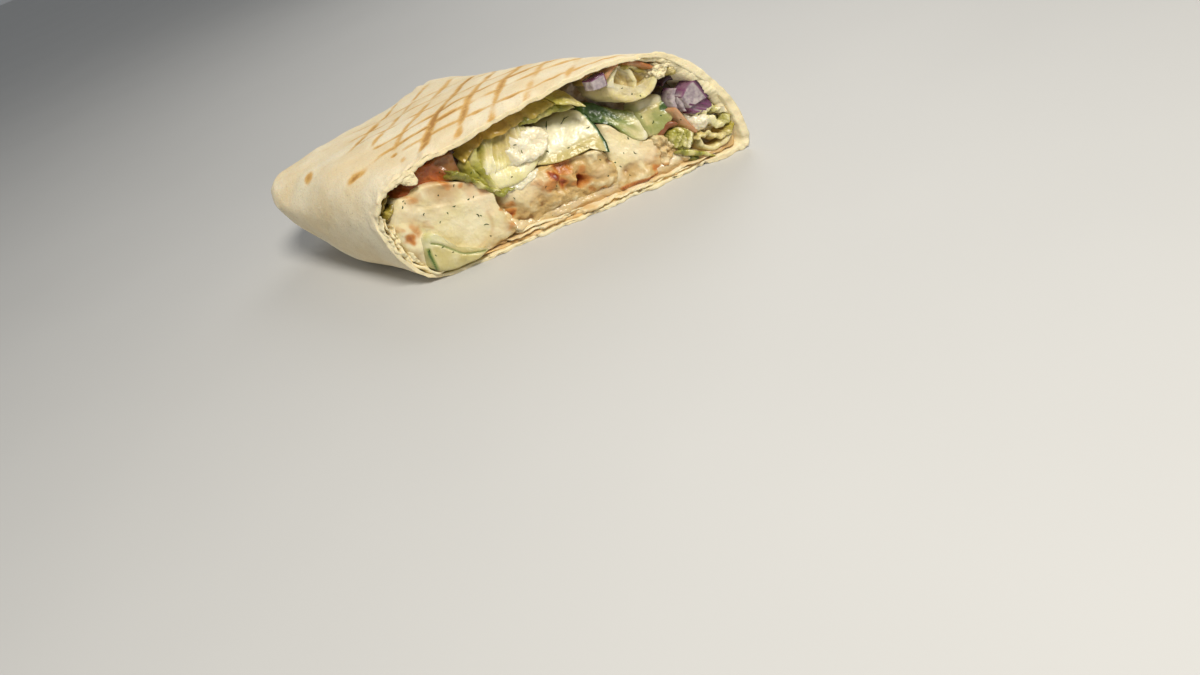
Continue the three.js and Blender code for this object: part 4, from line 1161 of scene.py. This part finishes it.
shown("lettuce_under_rib", "lettuce", lettuce_look,
      ribbon([(90.4, 7.8), (93.4, 6.2), (96.6, 4.6), (99.4, 2.4), (101, 0.9)], [1.0, 2.0, 1.4, 1.0, 0.4],
             0.1, 20, ruffle=0.4, wave=2, ragged=0.9, seed=70, pale=0.2,
             green=lambda u, d: 0.5 + 0.25 * np.sin(15 * u)),
      ribbon([(91.4, 4.4), (94, 3.6), (96.4, 2.4)], [0.8, 1.8, 0.8], 1.4, 14, ruffle=0.4, wave=1.6, seed=71,
             green=lambda u, d: 0.85 + 0.1 * np.sin(9 * u)))

shown("lettuce_tip_curl", "lettuce", lettuce_look,
      ribbon([(96.8, 8.8), (98.4, 9.4), (100.4, 9.2), (102.4, 7.4), (105, 6.6), (107.4, 7.8), (110, 10.2)],
             [0.7, 1.2, 1.1, 1.3, 1.5, 1.0], 0.4, 20, ruffle=0.8, wave=1.5, ragged=1.3, seed=72, pale=0.3,
             green=lambda u, d: 0.2 + 0.4 * step(u, 0.55, 0.9),
             amber=lambda u, d: 0.25 + 0.5 * step(d, 1, 4)),
      ribbon([(97.4, 11.6), (100, 13.4), (103, 12.6), (105.6, 10.4), (108.6, 11.6)],
             [1.2, 2.2, 2.4, 2.0, 0.8], 0.9, 24, ruffle=1.0, wave=1.8, ragged=1.2, seed=73,
             pale=lambda u, d: 0.9 - 0.3 * u, green=lambda u, d: 0.12 + 0.3 * step(u, 0.6, 0.9)),
      ribbon([(98.6, 15.6), (101.6, 16.4), (104.8, 15.6), (107.4, 13.4)], [0.8, 1.8, 1.6, 0.8], 1.6, 18,
             ruffle=1.1, wave=1.5, ragged=1.2, seed=74, pale=0.8,
             green=lambda u, d: 0.16 + 0.26 * np.sin(12 * u)),
      ribbon([(97.8, 8.4), (98.4, 5.6), (101, 4), (104.6, 4.4), (107.4, 6.4)], [0.8, 1.4, 1.6, 1.4, 0.7],
             0.9, 20, ruffle=0.3, wave=2.6, seed=75, pale=lambda u, d: 0.5 * np.exp(-d / 2), green=0.1,
             amber=lambda u, d: 0.2 + 0.6 * step(d, 0.6, 3)))


# --- The tomato ---
# A slice of ripe tomato in the pocket under the top sheet: deep red-brown in the shade, wet, with a
# paler pith side, whose brown towards the right end is partly painted shade.

tomato = Finish("tomato", Roughness=0.28, Subsurface_Weight=0.25, Subsurface_Scale=0.002, Coat_Weight=0.3)
pulp = tomato.grain(3, detail=3)
red = pulp.between(0.3, 0.7).tint("#95491A", "#B8682C")
# The brown pith side is partly painted shade, towards the slice's right end.
red = (tomato.painted("pith") * (pulp * 0.6 + 0.6)).tint(red, "#93683A")
red = (tomato.painted("shadow") * 0.85).tint(red, "#3B2010")
tomato_look = tomato.wear(red, relief=pulp, depth=0.5)
shown("tomato", "tomato", tomato_look,
      chunk([(7.6, 24.6), (9, 28), (12.4, 30.6), (17, 33.2), (22, 33.6), (27, 34.4), (31, 34), (32.6, 31),
             (30, 27.6), (24, 26), (16, 26), (11, 25)], 3.4, 26, soften=1.2, rough=0.25, grain=3, seed=80,
            around=200, rings=30,
            face=lambda x, z: (0.7 * folds(x, z, -58, 6, 2.2, 98) - 4 * step(x, 15, 10) * step(z, 28, 30)
                               + 0.8 * step(x, 21, 25) - 3 * step(x, 28, 30)),
            pith=lambda x, z: step(x - 0.3 * (32 - z), 21.5, 24.5) * 0.9,
            shadow=lambda x, z: np.maximum(step(x, 15.6, 11) * step(z, 28, 30.4), step(x, 26.8, 29.6))))


# --- The red onion ---
# Diced red onion: white-lilac flesh with a deep purple skin on its outer sides, and a loose layer that
# has turned grey-purple in the dressing.

onion = Finish("onion", Roughness=0.24, Subsurface_Weight=0.25, Subsurface_Scale=0.0015, Coat_Weight=0.4,
               Subsurface_Radius=(1.0, 0.7, 0.9))
layer = onion.grain(1.6, detail=3)
lilac = layer.between(0.3, 0.7).tint("#978790", "#C9BDBA")
lilac = (onion.painted("purple") + layer * 0.3 - 0.15).between(0.2, 0.55).tint(lilac, "#7A4468")
lilac = (onion.painted("purple") + layer * 0.3 - 0.15).between(0.6, 0.95).tint(lilac, "#3F1632")
# Painted shade, darker with depth behind the cut.
lilac = onion.hollow(lilac, "#35232A", 2.4, 6, 0.9)
onion_look = onion.wear(lilac, relief=layer, depth=0.3)

cube_skin = [(73, 38.1), (75, 38.4), (77.3, 38.6), (77.5, 38.4), (77.5, 36.6), (77.3, 34.7)]
shown("onion_cube", "onion", onion_look,
      chunk([(73.3, 35), (73.1, 35.3), (73, 37.8), (73.3, 38.1), (75, 38.4), (77.2, 38.7), (77.5, 38.4),
             (77.5, 36.6), (77.3, 35), (77, 34.8), (75, 34.8)], 0.1, 3, soften=0.4, rough=0.08, grain=1.6,
            seed=90, around=140, rings=24,
            purple=most(stripe(cube_skin, 0.45), stripe([(73, 34.7), (77, 34.7)], 0.3, 0.8))))

chunk_skin = [(101.2, 26), (102.2, 23.4), (103.2, 20.4)]
shown("onion_chunk", "onion", onion_look,
      chunk([(96.2, 22.8), (96.4, 23.4), (98.4, 24.8), (100.6, 26.2), (101.4, 26.2), (102.4, 23.4),
             (103.4, 20.2), (104.6, 17.6), (104.4, 16), (102, 15.6), (99, 16.2), (97.8, 18.4)], 0.6, 4,
            soften=0.5, rough=0.1, grain=2, seed=92, around=180, rings=34,
            face=lambda x, z: (0.5 * near_line(x, z, chunk_skin, 0.9)
                               - 0.9 * step(z - 0.2 * (x - 100), 19.4, 18.6)
                               + 0.35 * folds(x, z, -35, 6, 0.8, 99) * step(z, 19.4, 18.4)),
            purple=most(stripe(chunk_skin, 0.75, 1.1),
                        stripe([(96.2, 22.8), (98.4, 24.9), (100.8, 26.4)], 0.5, 0.5),
                        stripe([(97.8, 19.8), (99.6, 18.8), (102, 19.2)], 0.35, 0.9),
                        lambda x, z: (step(z - 0.2 * (x - 100), 19.6, 18.8)
                                      * (0.5 + 0.3 * folds(x, z, -35, 6, 0.8, 99))))),
      # a loose piece further back, which the painted shade behind the cut turns dark
      ribbon([(92.6, 26.4), (94.6, 27.6), (97, 27.2), (98.6, 28.6)], [0.6, 1.4, 1.2, 0.5], 5.4, 10,
             ruffle=0.3, seed=93, purple=0.55))

shown("onion_layer", "onion", onion_look,
      ribbon([(94.8, 17.4), (93.8, 20.4), (94.4, 23.4), (95.6, 25.6)], [0.6, 1.2, 1.6, 0.7], 1.6, 4,
             ruffle=0.4, wave=3, seed=94,
             purple=lambda u, d: 0.2 + 0.15 * np.sin(7 * u) + 0.3 * step(d, 1, 4)),
      ribbon([(96.4, 18), (95.8, 21), (96, 23.6)], [0.6, 1.3, 0.6], 1.2, 4, ruffle=0.3, wave=3, seed=95,
             purple=lambda u, d: 0.15 + 0.3 * step(d, 1, 4)))


# --- The grated carrot ---
# Thin strips of raw carrot from a coarse grater. Some are pale with dressing, some are still bright and
# one is painted dark brown.

carrot = Finish("carrot", Roughness=0.35, Subsurface_Weight=0.25, Subsurface_Scale=0.0015, Coat_Weight=0.2)
string = carrot.grain(1.4, detail=3)
orange = string.between(0.3, 0.7).tint("#A5642F", "#C0864E")
orange = (carrot.painted("dressed") * (string * 0.6 + 0.6)).tint(orange, "#D2AA80")
# One strip is painted dark brown.
orange = (carrot.painted("browned") * 0.85).tint(orange, "#7C4426")
carrot_look = carrot.wear(orange, relief=string, depth=0.25)
# each strip's node, middle line, thickness, place behind the cut and length, and how much of it is
# covered in dressing and how much of it is painted dark brown
strips = (
    ("carrot_1", [(77.4, 36.4), (78.8, 37.4), (80.4, 38.6), (82.4, 39.2)], 1.4, 1.0, 10, 0.4, 0.0),
    ("carrot_2", [(86.6, 13), (88.4, 14.6), (90.6, 15.6), (92.8, 15.2)], 2.0, 2.0, 12, 0.1, 0.95),
    ("carrot_3", [(93.4, 20.2), (94.4, 17.4), (95.6, 14.2), (97.4, 11)], 1.8, 1.0, 8, 0.75, 0.1),
    ("carrot_4", [(84.8, 38.2), (87, 37.2), (89.4, 35.4), (91, 34.2)], 1.5, 1.2, 12, 0.2, 0.1),
)
for number, (node, path, thick, front, length, dressed, browned) in enumerate(strips):
    shown(node, "carrot", carrot_look,
          ribbon(path, thick, front, length, ragged=0.3, ruffle=0.15, seed=100 + number, ends=0.6,
                 dressed=lambda u, d: dressed + 0.3 * np.sin(6 * u), browned=browned))


# --- The herbs ---
# Finely cut dill from the dressing. Thin dark green bits lie on the cheese and the cucumber, and a few
# longer fronds lie on the cucumber's top edge.

herb_finish = Finish("herbs", Roughness=0.45, Subsurface_Weight=0.1, Subsurface_Scale=0.001)
herb_tone = herb_finish.grain(1.2).between(0.35, 0.65).tint("#2C3A12", "#56682A")
herb_look = herb_finish.wear(herb_tone)
layers = bpy.context.evaluated_depsgraph_get()
lain_on = [(piece, BVHTree.FromObject(piece, layers)) for piece in bpy.data.objects
           if piece.type == "MESH" and (piece is tortilla or piece.name.startswith("shown_"))]


def lie_on(x, z):
    """Where a bit dropped on the fillings from in front and above comes to lie, and the way up there."""
    falling = Vector((0, 0.85, -0.53))
    start = Vector((BLUNT_END + x * MM, CUT_FACE, z * MM)) - falling * 0.03
    landed = []
    for piece, tree in lain_on:
        spot, upward, _, depth = tree.ray_cast(start, falling)
        if spot:
            landed.append((depth, spot, upward, piece))
    depth, spot, upward, piece = min(landed, key=lambda hit: hit[0])
    return None if piece is tortilla else (spot, upward)


chance = np.random.default_rng(11)
herb_points, herb_faces = [], []
bits = [(23, 20, 1.1), (29.2, 20.5, 0.8), (17.2, 17.3, 0.8), (28.2, 14.7, 1.4), (29.2, 11, 1.6),
        (25.5, 26, 1.2), (9.5, 26, 1.0), (46.5, 30.5, 1.4), (40, 15, 0.9), (78, 13.4, 1.3), (57, 33.6, 3.0),
        (61.6, 32.4, 3.6), (63, 33.4, 2.4), (54.4, 25, 1.0), (68, 27, 1.2), (47.4, 27.6, 1.6),
        (81, 33, 0.8)]
bits += [(chance.uniform(8, 104), chance.uniform(6, 32), chance.uniform(0.5, 1.1)) for _ in range(34)]
for x, z, long in bits:
    place = lie_on(x, z)
    if not place:
        continue
    spot, upward = place
    turn = Matrix.Rotation(chance.uniform(0, math.pi), 3, upward)
    ahead = (turn @ upward.orthogonal()).normalized()
    aside = upward.cross(ahead)
    bow, wide = chance.uniform(-0.25, 0.25) * long, chance.uniform(0.13, 0.2)
    first = len(herb_points)
    for part in np.linspace(-1, 1, 7):
        narrow = wide * (1.04 - part * part) ** 0.5
        middle = spot / MM + ahead * (part * long / 2) + aside * (bow * part * part) + upward * 0.04
        middle -= Vector((BLUNT_END, CUT_FACE, 0)) / MM
        for over, rise in ((1, 0), (0, 0.5), (-1, 0), (0, -0.5)):
            herb_points.append(middle + aside * (over * narrow) + upward * (rise * narrow))
    herb_faces += [*grid_faces(7, 4, first), range(first, first + 4), range(first + 24, first + 28)]
herbs = make_piece("herbs", herb_points, herb_faces)
herbs.data.materials.append(herb_look)
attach(herbs, "root")
